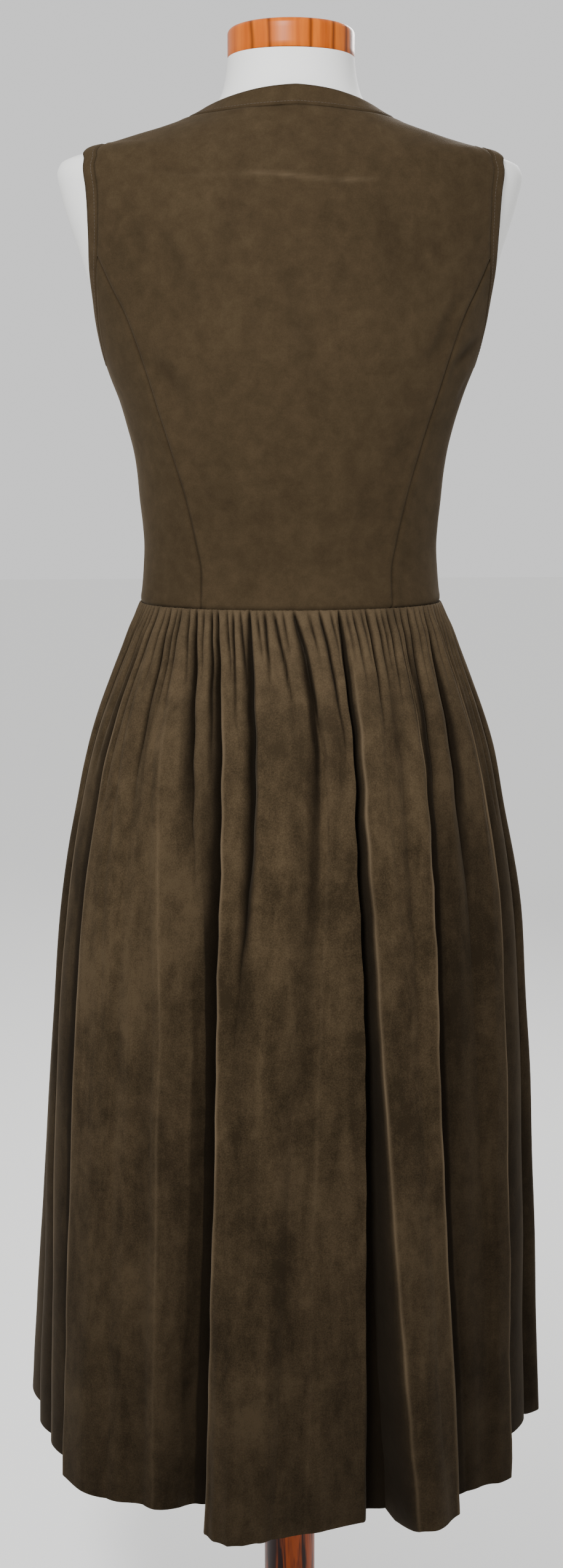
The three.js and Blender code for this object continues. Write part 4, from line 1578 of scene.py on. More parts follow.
@dataclass(frozen=True)
class HiddenFront:
    """Measures of the front's regular folds, gathers and soft lines; a pair is a range."""

    folds: int = 9
    ridge_place: float = 0.4
    ridge_wander: float = 2.5
    ridge_rhythm: float = 2.4
    valley_place: float = 0.42
    valley_wander: float = 0.1
    valley_rhythm: float = 1.7
    swell_change: float = 0.35
    swell_rhythm: float = 1.9
    swell_start: float = 0.6
    first_swell: float = 0.2
    drift: float = 2.0
    drift_rhythm: float = 3.1
    # Strength and rhythm of the painted sheen highlight on the ridges' edges; valley_shade is painted shade
    # in the valleys.
    edge_sheen: float = 0.4
    edge_sheen_rhythm: float = 1.3
    ridge_out: Triple = (3, 6, 16)
    valley_out: Triple = (-5, -7, -14)
    valley_shade: float = 0.7
    gather_seed: int = 11
    gather_turns: Pair = (272.6, 448.5)
    long_gathers: float = 0.3
    long_reach: Pair = (140, 260)
    short_reach: Pair = (40, 110)
    long_depth: Pair = (3.8, 5.2)
    short_depth: Pair = (2.8, 4.0)
    gather_drift: Pair = (-0.8, 0.8)
    gather_gap: Pair = (2.6, 4.0)
    line_seed: int = 23
    lines: int = 13
    line_start: float = 276.0
    line_pitch: float = 13.4
    line_wander: Pair = (-3, 3)
    line_lean: Pair = (-4, 4)
    lean_at_knee: float = 1.3
    lean_at_hem: float = 1.2
    line_signs: tuple[int, ...] = (-1, -1, 1)
    hip_depth: Pair = (1, 2.6)
    knee_depth: Pair = (0.6, 2)
    hem_depth: Pair = (-1, 2)
    line_width: Pair = (1.3, 2)


R, V = FoldKind.RIDGE, FoldKind.VALLEY


@dataclass
class Skirt:
    """Closely gathered skirt of two panels, with its folds worked out from short tables."""

    cloth: Material
    waist_height: float = 1060.0
    hem_height: float = 337.0
    thickness: float = 1.3
    gather_share: SmoothCurve = field(default_factory=lambda: SmoothCurve(
        (0, 4, 10, 24, 50, 120, 800), (0.22, 0.6, 0.95, 1.12, 1.15, 1.0, 0.9)))
    rings: tuple[tuple[float, float, float, float, float], ...] = (
        # height, half width, depth before the axis, depth behind it, squareness
        (337, 224, 212, 213, 2), (430, 219, 209, 211, 2), (520, 214, 205, 208, 2),
        (630, 208, 197, 203, 2), (720, 202, 188, 196, 2), (790, 196, 178, 188, 2),
        (850, 188, 167, 177, 2), (900, 178, 155, 165, 2.03), (940, 169, 144, 154, 2.08),
        (970, 160, 135, 145, 2.12), (1000, 149, 123, 132, 2.16), (1020, 141, 114, 122, 2.18),
        (1040, 133.5, 103.5, 109, 2.2), (1050, 129, 97.5, 101.5, 2.2), (1060, 125.7, 92.7, 95.7, 2.2),
    )
    levels: tuple[float, ...] = (337, 720, 940, 1010, 1060)
    under_seam_share: float = 0.36
    back_folds: tuple[Fold, ...] = (
        # turns at the seam, hip, knee and hem, distance out at the hip, knee and hem, painted shade, painted
        # edge highlight
        Fold(V, 90, 90, 90, 90, -1, -2, -4, 0.75),
        Fold(R, 97, 95, 95.5, 97, 2, 3, 2, 0.75),
        Fold(V, 107, 99, 100.5, 104, -4, -4, -5, 0.9),
        Fold(R, 112, 104, 104.5, 108.6, 1.5, 1.5, -1, 0.4, 0.8),
        Fold(V, 116.7, 114.7, 116.6, 118.5, -4.5, -8, -10, 0.9),
        Fold(R, 118.2, 116.6, 118.8, 121.6, 2.5, 6, 10, 0, 1),
        Fold(R, 124, 123, 126, 128.5, 2, 4, 12, 0),
        Fold(V, 128.6, 130.5, 133, 135, -2.5, 0, 4, 0.1),
        Fold(V, 134.6, 137, 143.4, 142.8, -2, -1.5, -6, 0.15),
        Fold(R, 137.2, 140.2, 145.8, 145.4, 0.5, 0.5, -4, 0, 0.3),
        Fold(V, 142.2, 148.8, 153.4, 150.4, -3, -4, -16, 0.35),
        Fold(R, 147.5, 153.5, 156, 153.4, 1, -13, -27, 0.95),
        Fold(V, 151.4, 158.2, 159.3, 157.6, -5, -26, -34, 1),
        Fold(R, 152.8, 159.4, 160.5, 159.4, 2.8, 6.5, 12, 0, 1),
        Fold(R, 158.5, 163.6, 162.2, 162, 3, 5.5, 20, 0),
        Fold(V, 163.9, 167.6, 164.2, 164.6, -6, 2.5, 24, 0.1),
        Fold(R, 165.4, 169.2, 167, 167, 2.8, 4, 22, 0),
        Fold(R, 171, 175.6, 172.6, 170.2, 3, 6, 16, 0),
        Fold(V, 178.4, 182.9, 177.4, 172.8, -3.5, -1.5, 9.5, 0.15),
        Fold(V, 179.2, 183.7, 178.8, 175, -3.5, -2.5, 7.5, 0.15),
        Fold(R, 181, 185.6, 182.4, 179.4, 3, -1, 3, 0.05, 0.1),
        Fold(V, 185.8, 188.9, 186, 183.6, 1.5, 0.5, -1, 0.1),
        Fold(R, 190.4, 192.0, 192.6, 192.2, 3, 2.5, -6, 0.1),
        Fold(V, 191.6, 192.9, 193.3, 194.2, -10, -26, -24, 1.6),
        Fold(V, 192.9, 194.0, 195.2, 198.6, -10, -26, -20, 1.6),
        Fold(R, 194.1, 194.9, 196.2, 201.2, 3.4, 7, 21, 0.05, 1),
        Fold(R, 199.5, 200.5, 201.5, 204.6, 3, 6, 25, 0),
        Fold(V, 208, 206.4, 205.6, 208, -0.5, 4.5, 20, 0.12),
        Fold(R, 216, 213.4, 210.1, 211.2, 3.4, 7.5, 16, 0, 1),
        Fold(V, 217.3, 214.8, 211.7, 213.8, -5, -13, -6, 1),
        Fold(V, 224.2, 219.2, 217, 218.2, -5.5, -10, -5, 0.95),
        Fold(R, 229, 222.6, 221, 221.8, 1.5, -6, -2, 0.85),
        Fold(V, 234.4, 226.8, 225.4, 225, -5, -5, 1, 0.85),
        Fold(R, 240.4, 238.2, 232.7, 229.4, 4, 8.5, 8, 0.5, 1),
        Fold(V, 241.7, 239.9, 234.7, 232.8, -6.5, -16, -19, 1),
        Fold(V, 250, 246, 243, 246, -4, -10, -20, 1),
        Fold(R, 256, 251, 252, 255, 0, -3, -12, 0.85),
        Fold(V, 260, 254.6, 254.6, 257.4, -3, -4, -13, 0.9),
        Fold(R, 263.6, 257.5, 257.8, 260.6, 2, 3, 1, 0.75),
        Fold(V, 270, 270, 270, 270, -1, -2, -4, 0.75),
    )
    back_gathers: tuple[Gather, ...] = tuple(Gather(*row) for row in (
        # turn at the seam, reach, depth, drift
        (92.5, 90, 3.2), (95.5, 140, 3.6), (99, 80, 3.0), (102, 170, 3.8), (105.5, 100, 3.2),
        (108, 230, 4.6), (111.5, 90, 3.4), (114, 140, 3.6), (116.7, 150, 4.2), (120.4, 170, 4.0),
        (125.7, 75, 3.2), (128.6, 160, 4.2), (132.6, 85, 3.6), (134.6, 95, 3.6, 0.6),
        (139.0, 60, 3.4, 1.0), (142.2, 220, 5.4, 0.4), (145.7, 55, 3.0), (149.2, 130, 4.0),
        (151.6, 300, 4.4), (155.4, 55, 3.2, 1.0), (157.8, 90, 4.0), (160.5, 60, 3.4, 1.2),
        (163.9, 260, 5.2), (166.6, 40, 3.0, 1.0), (169.3, 60, 4.2, -0.4), (172.4, 85, 4.4, 1.2),
        (175.3, 35, 3.0), (178.6, 190, 4.6, 0.8), (182.4, 45, 3.0, 0.8), (186.0, 120, 4.0, 0.8),
        (189.8, 50, 3.2, 0.6), (192.8, 260, 5.2), (195.5, 40, 2.8), (197.9, 60, 3.2), (201.1, 45, 3.0),
        (203.4, 90, 4.4, -0.6), (207.4, 60, 3.2), (209.8, 50, 3.0), (212.4, 75, 4.0, -0.6),
        (216.0, 210, 4.4), (219.2, 60, 3.4), (223.5, 190, 4.6), (227.4, 70, 3.2), (230.8, 60, 3.2),
        (234.3, 150, 4.2), (237.4, 70, 3.2), (240.0, 230, 4.8), (243.6, 60, 3.0), (246.8, 110, 3.6),
        (250.2, 70, 3.0), (253.4, 180, 4.0), (256.8, 80, 3.2), (260.0, 140, 3.6), (263.6, 70, 3.0),
        (267.2, 110, 3.4),
    ))
    back_lines: tuple[SoftLine, ...] = (
        SoftLine(120, 123.4, 128, 131, 0, -1.8, -0.5, 0, 0.9),
        SoftLine(155, 163.5, 168.5, 168, 0, -0.8, -1.6, -1, 1.5),
        SoftLine(203, 202, 204, 204, -0.8, -1.2, 0, 0, 0.9),
        SoftLine(245, 236, 229, 226, 0, 1.0, 1.5, 2, 1.4),
        SoftLine(139, 135, 137, 138, 0, 0.6, 1.4, 1.5, 2.4),
        SoftLine(174, 179, 184, 180, 0, -0.6, -0.6, -1.0, 1.8),
    )
    front: HiddenFront = HiddenFront()
    gather_shape: GatherShape = GatherShape()
    uneven: Unevenness = Unevenness()
    # Painted light: highlights and shade along the folds, shade towards the hem, and shade in the hollows.
    nap: PaintedLightShape = PaintedLightShape()
    deep: PaintedHollowShade = PaintedHollowShade()
    column_turn: float = 0.43
    fewest_columns: int = 5
    row_breaks: Pair = (880.0, 1020.0)
    row_counts: tuple[int, int, int] = (36, 22, 18)
    ridge_power: float = 1.75
    line_power: float = 1.4
    spare_columns: tuple[int, ...] = (1, 2)

    def __post_init__(self) -> None:
        """Makes the curves of the rings."""
        table = np.array(self.rings)
        names = ("side", "before", "behind", "square")
        self.ring = {name: SmoothCurve(table[:, 0], table[:, i + 1]) for i, name in enumerate(names)}

    def front_folds(self) -> tuple[Fold, ...]:
        """Main folds of the hidden front, regular and made a little uneven.

        Returns:
            The fold rows from the right side seam to the left one.
        """
        plan, right_side, left_side = self.front, self.back_folds[-1], self.back_folds[0]
        pitch = 180 / plan.folds
        rows = [right_side]
        for i in range(plan.folds):
            ridge = right_side.seam + pitch * (i + plan.ridge_place)
            ridge += plan.ridge_wander * math.sin(plan.ridge_rhythm * i)
            share = plan.valley_place + plan.valley_wander * math.sin(plan.valley_rhythm * i + 1)
            valley = ridge + pitch * share
            swell = 1 + plan.swell_change * math.sin(plan.swell_rhythm * i + plan.swell_start)
            swell = plan.first_swell if i == 0 else swell
            drift = plan.drift * math.sin(plan.drift_rhythm * i)
            edge_sheen = plan.edge_sheen + plan.edge_sheen * math.sin(plan.edge_sheen_rhythm * i)
            rows.append(Fold(R, ridge - drift, ridge, ridge + drift / 2, ridge + drift,
                             *(out * swell for out in plan.ridge_out), 0, edge_sheen))
            if i < plan.folds - 1:
                rows.append(Fold(V, valley - drift, valley, valley + drift / 2, valley + drift,
                                 *(out * swell for out in plan.valley_out), plan.valley_shade))
        once_round = {name: getattr(left_side, name) + 360 for name in ("seam", "hip", "knee", "hem")}
        rows.append(replace(left_side, **once_round))
        return tuple(rows)

    def front_gathers(self) -> tuple[Gather, ...]:
        """Gathers of the hidden front, of the same sort as the back's.

        Returns:
            The gathers by their turn.
        """
        plan, dice = self.front, random.Random(self.front.gather_seed)
        turn, last = plan.gather_turns
        rows = []
        while turn < last:
            long = dice.random() < plan.long_gathers
            reach = dice.uniform(*(plan.long_reach if long else plan.short_reach))
            depth = dice.uniform(*(plan.long_depth if long else plan.short_depth))
            rows.append(Gather(turn, reach, depth, dice.uniform(*plan.gather_drift)))
            turn += dice.uniform(*plan.gather_gap)
        return tuple(rows)

    def front_lines(self) -> tuple[SoftLine, ...]:
        """Soft lines of the hidden front, like the back's but in other places.

        Returns:
            The lines by their turn.
        """
        plan, dice = self.front, random.Random(self.front.line_seed)
        rows = []
        for i in range(plan.lines):
            seam = plan.line_start + plan.line_pitch * i + dice.uniform(*plan.line_wander)
            lean = dice.uniform(*plan.line_lean)
            sign = dice.choice(plan.line_signs)
            rows.append(SoftLine(
                seam, seam + lean, seam + lean * plan.lean_at_knee, seam + lean * plan.lean_at_hem, 0,
                sign * dice.uniform(*plan.hip_depth), sign * dice.uniform(*plan.knee_depth),
                dice.uniform(*plan.hem_depth), dice.uniform(*plan.line_width)))
        return tuple(rows)

    def columns(self, folds: Sequence[Fold]) -> tuple[Array, Array]:
        """Where the columns of points lie between the fold lines.

        Args:
            folds: The panel's fold rows.

        Returns:
            The fold row before each column, and its share of the way to the next.
        """
        rows, shares = [], []
        for i in range(len(folds) - 1):
            here, after = folds[i], folds[i + 1]
            width = max(after.seam - here.seam, after.hip - here.hip, after.hem - here.hem)
            steps = max(self.fewest_columns, round(width / self.column_turn))
            rows += [i] * steps
            shares += [step / steps for step in range(steps)]
        return np.array(rows + [len(folds) - 2]), np.array(shares + [1.0])

    def laid_out(self, folds: Sequence[Fold]) -> tuple[Array, Array, Array, Array]:
        """Where the fold lines and the points between them lie.

        Args:
            folds: The panel's fold rows.

        Returns:
            The fold row before each column, its share of the way to the next, and the turns of the
            fold lines and of all points.
        """
        row, share = self.columns(folds)
        turns = self.at_levels(folds, ("hem", "knee", "hip", "seam"), self.heights())
        return row, share, turns, turns[:, row] + share[None] * (turns[:, row + 1] - turns[:, row])

    def heights(self) -> Array:
        """Heights of the rows of points, closer together near the waist.

        Returns:
            The heights, rising.
        """
        stops = (self.hem_height, *self.row_breaks, self.waist_height)
        parts = [np.linspace(*stretch) for stretch in zip(stops, stops[1:], self.row_counts)]
        return np.concatenate([parts[0][:-1], parts[1][:-1], parts[2]])

    def at_levels(self, folds: Sequence[Fold], names: Sequence[Optional[str]], height: Array) -> Array:
        """A value of each fold row at many heights.

        Args:
            folds: The fold rows.
            names: The value's name at the hem, knee, hip and seam; none means 0.
            height: The heights.

        Returns:
            Values, a row for each height and a column for each fold.
        """
        curves = []
        for fold in folds:
            hem, knee, hip, seam = (getattr(fold, name) if name else 0.0 for name in names)
            curves.append(self.down(hem, knee, hip, seam)(height))
        return np.stack(curves, -1)

    def down(self, hem: float, knee: float, hip: float, seam: float) -> SmoothCurve:
        """A curve down the skirt that changes fastest under the seam."""
        return SmoothCurve(self.levels, (hem, knee, hip, hip + self.under_seam_share * (seam - hip), seam))

    def fold_out(self, folds: Sequence[Fold], row: Array, share: Array, height: Array) -> Array:
        """How far the main folds stand out: round ridges and sharp valleys.

        Args:
            folds: The fold rows.
            row: The fold row before each column.
            share: The share of the way to the next.
            height: The heights.

        Returns:
            A distance for each height and column.
        """
        out = self.at_levels(folds, ("out_hem", "out_knee", "out_hip", None), height)
        kinds = np.array([fold.kind.value for fold in folds])
        from_kind, to_kind = kinds[row], kinds[row + 1]
        smooth = share * share * (3 - 2 * share)
        falling = share ** self.ridge_power
        rising = 1 - (1 - share) ** self.ridge_power
        ease = np.where(from_kind == to_kind, smooth, np.where(from_kind > 0, falling, rising))
        return out[:, row] + ease[None] * (out[:, row + 1] - out[:, row])

    def gathered(self, gathers: Sequence[Gather], seam_turn: Array, below: Array) -> Array:
        """How far the gathers move the cloth.

        Args:
            gathers: The valleys.
            seam_turn: Each column's turn at the seam.
            below: Distance of each row under the seam.

        Returns:
            A distance for each height and column.
        """
        shape = self.gather_shape
        share = self.gather_share(below)
        total = np.zeros((len(below), len(seam_turn)))
        middles = np.array([gather.turn for gather in gathers])
        ends = {"prepend": middles[0] - shape.end_gap, "append": middles[-1] + shape.end_gap}
        halves = np.diff(middles, **ends) / 2
        for i, gather in enumerate(gathers):
            centre = gather.turn + gather.drift * below / shape.drift_length * shape.drift_turn
            offset = seam_turn[None] - centre[:, None]
            away = np.abs(offset)
            wider = (1 + shape.widening * np.clip(below / shape.widening_reach, 0, 1))[:, None]
            t = np.clip(away / (np.where(offset < 0, halves[i], halves[i + 1]) * wider), 0, 1)
            bowl = 1 - np.sin(t * math.pi / 2) ** shape.bowl_power
            fade = np.clip(1 - below / gather.reach, 0, 1)
            depth = gather.depth * share
            slit = depth * fade ** shape.slit_fade * shape.slit_share
            total -= (depth * fade)[:, None] * bowl + slit[:, None] * bell(away, shape.slit_width)
        puff = shape.puff * share * np.exp(-below / shape.puff_reach)
        return total + puff[:, None]

    def lined(self, lines: Sequence[SoftLine], turn: Array, height: Array) -> Array:
        """How far the soft lines move the cloth.

        Args:
            lines: The soft lines.
            turn: Turn of each point.
            height: The heights.

        Returns:
            A distance for each height and column.
        """
        total = np.zeros(turn.shape)
        for line in lines:
            centre = self.down(line.hem, line.knee, line.hip, line.seam)(height)
            depth = self.down(line.depth_hem, line.depth_knee, line.depth_hip, line.depth_seam)(height)
            t = np.abs(turn - centre[:, None]) / line.width
            total += depth[:, None] * np.exp(-(t ** self.line_power))
        return total

    def sheet(self, folds: Sequence[Fold], gathers: Sequence[Gather],
              lines: Sequence[SoftLine]) -> tuple[Array, Array, Array]:
        """The two faces of a panel.

        Args:
            folds: Its main folds.
            gathers: Its gathers.
            lines: Its soft lines.

        Returns:
            The outer and the inner grid of points in millimetres, and the painted shade that each point gets
            from how deep it lies.
        """
        height = self.heights()
        row, share, _, turn = self.laid_out(folds)
        seams = np.array([fold.seam for fold in folds])
        seam_turn = seams[row] + share * (seams[row + 1] - seams[row])
        below = self.waist_height - height
        out = self.fold_out(folds, row, share, height)
        out = out + self.gathered(gathers, seam_turn, below) + self.lined(lines, turn, height)
        radians = np.radians(turn)
        across, ahead = np.sin(radians), np.cos(radians)
        power = (2 / self.ring["square"](height))[:, None]
        side = self.ring["side"](height)[:, None]
        before, behind = (self.ring[name](height)[:, None] for name in ("before", "behind"))
        depth = np.where(ahead > 0, before, behind)
        level = np.broadcast_to(height[:, None], turn.shape)
        x = side * signed_power(across, power)
        y = -depth * signed_power(ahead, power)
        rough = np.stack([x, y, level * self.uneven.upright_share], -1)
        uneven = np.clip(below / self.uneven.reach, 0, 1)[:, None]
        swell = soft_waves(rough, self.uneven.swell_length, self.uneven.swell_seed)
        out = out + uneven * self.uneven.swell * swell
        away = unit(np.stack([x, y], -1))
        sway = uneven * soft_waves(rough, self.uneven.sway_length, self.uneven.sway_seed)
        x = x + out * across - sway * away[..., 1]
        y = y - out * ahead + sway * away[..., 0]
        deepest = out.copy()
        for step in self.spare_columns:
            deepest[:, step:] = np.minimum(deepest[:, step:], out[:, :-step])
            deepest[:, :-step] = np.minimum(deepest[:, :-step], out[:, step:])
        back = out - deepest + self.thickness
        inner = np.stack([x - back * across, y + back * ahead, level], -1)
        return np.stack([x, y, level], -1), inner, self.painted_hollow_shade(out)

    def painted_light_marks(self, folds: Sequence[Fold]) -> tuple[Array, Array]:
        """Painted light along the main folds.

        Args:
            folds: The panel's fold rows.

        Returns:
            Marks from 0 to 1 for the painted sheen highlight on fold edges and gather puffs, and for painted
            shade along dark stretches.
        """
        nap, height = self.nap, self.heights()
        row, share, turns, turn = self.laid_out(folds)
        radius = self.ring["side"](height)[:, None]
        below = self.waist_height - height
        under = np.clip((below - nap.edge_start) / nap.edge_range, 0, 1)
        faded = np.clip((height - nap.fade_height) / nap.fade_range, 0, 1)
        fading = nap.hem_share + (1 - nap.hem_share) * faded
        # Painted sheen highlight along the fold edges, patchy and fading towards the hem.
        edge = np.zeros(turn.shape)
        out = self.fold_out(folds, row, share, height)
        fold_outs = self.at_levels(folds, ("out_hem", "out_knee", "out_hip", None), height)
        for i, fold in enumerate(folds):
            if fold.edge_sheen > 0:
                away = np.hypot(np.radians(turn - turns[:, i:i + 1]) * radius, out - fold_outs[:, i:i + 1])
                patches = np.sin(height / nap.short_patch + 2 * i) * np.sin(height / nap.long_patch + i)
                patchy = 1 - nap.patchiness + nap.patchiness * patches
                edge += (fold.edge_sheen * under * patchy * fading)[:, None] * bell(away, nap.edge_width)
        # Painted shade along the dark stretches, kept dark up to the ridges.
        shades = np.array([fold.shade for fold in folds])
        kinds = np.array([fold.kind.value for fold in folds])
        steep = np.where(kinds[row] > kinds[row + 1], 1 - (1 - share) ** nap.steepness, share)
        steep = np.where(kinds[row] < kinds[row + 1], share ** nap.steepness, steep)
        shade = shades[row] + steep * (shades[row + 1] - shades[row])
        # Painted highlight on the gathers' puffs just under the waist seam.
        edge += (nap.puff_highlight * np.exp(-below / nap.puff_reach))[:, None]
        started = np.clip((below - nap.shade_start) / nap.shade_range, 0, 1)
        return np.clip(edge, 0, 1), started[:, None] * shade[None]

    def painted_hollow_shade(self, out: Array) -> Array:
        """Painted shade from how deep each point lies between the cloth on its two sides, from 0 to 1, less
        so near the hem.

        Args:
            out: How far each point stands out.

        Returns:
            The painted shade at each point.
        """
        shape, height = self.deep, self.heights()
        left, right = out.copy(), out.copy()
        for step in range(1, shape.reach + 1):
            left[:, step:] = np.maximum(left[:, step:], out[:, :-step])
            right[:, :-step] = np.maximum(right[:, :-step], out[:, step:])
        between = np.minimum(left, right) - out
        beside = np.maximum(left, right) - out
        near_waist = np.clip((height - shape.waist_start) / shape.waist_range, 0, 1)[:, None]
        deep = (shape.between + shape.between_at_waist * near_waist) * between
        deep = deep + (shape.beside + shape.beside_at_waist * near_waist) * beside
        faded = np.clip((height - shape.fade_height) / shape.fade_range, 0, 1)[:, None]
        return np.clip(deep - shape.least, 0, 1) * (shape.hem_share + (1 - shape.hem_share) * faded)

    def panel(self, name: str, folds: Sequence[Fold], gathers: Sequence[Gather],
              lines: Sequence[SoftLine]) -> Piece:
        """Makes a skirt panel.

        Args:
            name: Its name.
            folds: Its main folds.
            gathers: Its gathers.
            lines: Its soft lines.

        Returns:
            The panel.
        """
        outer, inner, deep = self.sheet(folds, gathers, lines)
        # Painted shade growing towards the hem, where the light falls off.
        low = np.clip((self.nap.hem_shade_top - outer[..., 2]) / self.nap.hem_shade_range, 0, 1) ** self.nap.hem_shade_power
        edge, shade = self.painted_light_marks(folds)
        # Painted shade in the hollows and along dark stretches; the painted sheen highlight is kept out of
        # the hollows.
        dark = np.clip(deep + self.nap.shade_share * shade, 0, 1)
        marks = {"edge": edge * (1 - deep), "hollow": dark, "low": low, "nap": np.ones(low.shape)}
        return Wall(outer, inner, marks=marks).build(name, self.cloth)

    def build(self) -> list[Piece]:
        """Builds the back and the front of the skirt.

        Returns:
            The two panels.
        """
        return [
            self.panel("skirt_back", self.back_folds, self.back_gathers, self.back_lines),
            self.panel("skirt_front", self.front_folds(), self.front_gathers(), self.front_lines()),
        ]


# Dress form and stand


def turned(name: str, profile: Sequence[Pair], sides: int, material: Material) -> Piece:
    """Makes a round piece from a profile.

    Args:
        name: Its name.
        profile: Radius and height of each ring, from the bottom up.
        sides: Points in a ring.
        material: Its material.

    Returns:
        The piece, closed at both ends.
    """
    turn = np.arange(sides) / sides * 2 * math.pi
    table = np.array(profile)
    ring = np.stack([np.cos(turn), np.sin(turn)], -1)
    level = np.broadcast_to(table[:, None, 1:], (len(table), sides, 1))
    points = np.concatenate([ring[None] * table[:, None, :1], level], -1).reshape(-1, 3)
    return ring_body(name, points, len(table), sides, material)


def ring_body(name: str, points: Array, rings: int, sides: int, material: Material) -> Piece:
    """Makes a closed body from level rings of points.

    Args:
        name: Its name.
        points: Points, ring by ring from the bottom.
        rings: How many rings.
        sides: Points in a ring.
        material: Its material.

    Returns:
        The body.
    """
    index = np.arange(rings * sides).reshape(rings, sides)
    after = np.roll(index, -1, 1)
    quads = np.stack([index[:-1], after[:-1], after[1:], index[1:]], -1).reshape(-1, 4)
    tris = np.concatenate([quads[:, [0, 1, 2]], quads[:, [0, 2, 3]]])
    low, high = len(points), len(points) + 1
    ends = [points.reshape(rings, sides, 3)[0].mean(0), points.reshape(rings, sides, 3)[-1].mean(0)]
    bottom = np.stack([np.full(sides, low), after[0], index[0]], -1)
    top = np.stack([np.full(sides, high), index[-1], after[-1]], -1)
    cloud = np.concatenate([points, np.array(ends)])
    return make_object(name, cloud, np.concatenate([tris, bottom, top]), material, TURNED_EDGE)


@dataclass
class DressForm:
    """Limbless form: a smooth torso with a wooden neck cap."""

    body: BodyShape
    shell: Material
    cap_wood: Material
    neck_top: float = 1490.0
    cap_radius: float = 50.5
    cap_height: float = 22.0
    cap_bevel: float = 1.4
    cap_bevel_middle: float = 0.4
    cap_side_shares: tuple[float, ...] = (0.3, 0.6, 0.9)
    cap_side_margin: float = 6.0
    cap_rounding: float = 4.0
    cap_rounding_steps: int = 6
    cap_top_shares: tuple[float, ...] = (0.6, 0.3)
    cap_sides: int = 96
    seam_gap: float = 0.3
    sides: int = 144
    rows: int = 150

    def torso(self) -> Piece:
        """The form's smooth shell.

        Returns:
            The closed torso.
        """
        heights = np.array([ring[0] for ring in self.body.rings])
        index = np.linspace(0, len(heights) - 1, self.rows)
        level = np.interp(index, np.arange(len(heights)), heights)
        turn = np.arange(self.sides) / self.sides * 360
        grid = places(turn[None], level[:, None])
        points = self.body.point(grid).reshape(-1, 3)
        return ring_body("form_torso", points, self.rows, self.sides, self.shell)

    def cap(self) -> Piece:
        """The neck cap, a turned disc with rounded edges.

        Returns:
            The closed cap.
        """
        low = self.neck_top + self.seam_gap
        high = low + self.cap_height
        radius, rounding = self.cap_radius, self.cap_rounding
        bevel, middle = self.cap_bevel, self.cap_bevel_middle
        profile = [(radius - bevel, low), (radius - middle, low + middle), (radius, low + bevel)]
        straight = self.cap_height - self.cap_side_margin
        profile += [(radius, low + share * straight) for share in self.cap_side_shares]
        for step in range(self.cap_rounding_steps + 1):
            angle = step / self.cap_rounding_steps * math.pi / 2
            profile.append((radius - rounding + rounding * math.cos(angle),
                            high - rounding + rounding * math.sin(angle)))
        profile += [(radius * share, high) for share in self.cap_top_shares]
        return turned("form_neck_cap", profile, self.cap_sides, self.cap_wood)

    def build(self) -> list[Piece]:
        """Builds the torso and its cap."""
        return [self.torso(), self.cap()]


@dataclass
class Stand:
    """Round pole and round base."""

    pole_wood: Material
    base_wood: Material
    pole_radius: float = 23.0
    form_bottom: float = 862.0
    base_radius: float = 168.0
    base_thickness: float = 24.0
    edge: float = 4.0
    edge_steps: int = 5
    flat_shares: Pair = (0.3, 0.65)
    pole_steps: int = 12
    pole_sides: int = 64
    base_sides: int = 128
    seam_gap: float = 0.3

    def build(self) -> list[Piece]:
        """Builds the pole and the base.

        Returns:
            The pole and the base.
        """
        low = self.base_thickness + self.seam_gap
        high = self.form_bottom - self.seam_gap
        levels = [low + (high - low) * i / self.pole_steps for i in range(self.pole_steps + 1)]
        pole = turned("stand_pole", [(self.pole_radius, level) for level in levels], self.pole_sides,
                      self.pole_wood)
        profile = [(self.base_radius * share, 0) for share in self.flat_shares]
        for centre, start in ((self.edge, -90), (self.base_thickness - self.edge, 0)):
            for step in range(self.edge_steps + 1):
                angle = math.radians(start + 90 * step / self.edge_steps)
                profile.append((self.base_radius - self.edge + self.edge * math.cos(angle),
                                centre + self.edge * math.sin(angle)))
        profile += [(self.base_radius * share, self.base_thickness) for share in self.flat_shares[::-1]]
        return [pole, turned("stand_base", profile, self.base_sides, self.base_wood)]


# Studio


@dataclass(frozen=True)
class Lamp:
    """A soft square lamp: its name, its place and target in metres, its width, and its power in watts."""

    name: str
    place: Triple
    target: Triple
    width: float
    power: float

    def build(self) -> None:
        """Hangs the lamp."""
        data = bpy.data.lights.new(self.name, "AREA")
        data.size = self.width
        data.energy = self.power
        lamp = bpy.data.objects.new(self.name, data)
        lamp.location = self.place
        lamp.rotation_mode = "QUATERNION"
        lamp.rotation_quaternion = (Vector(self.target) - Vector(self.place)).to_track_quat("-Z", "Y")
        bpy.context.scene.collection.objects.link(lamp)


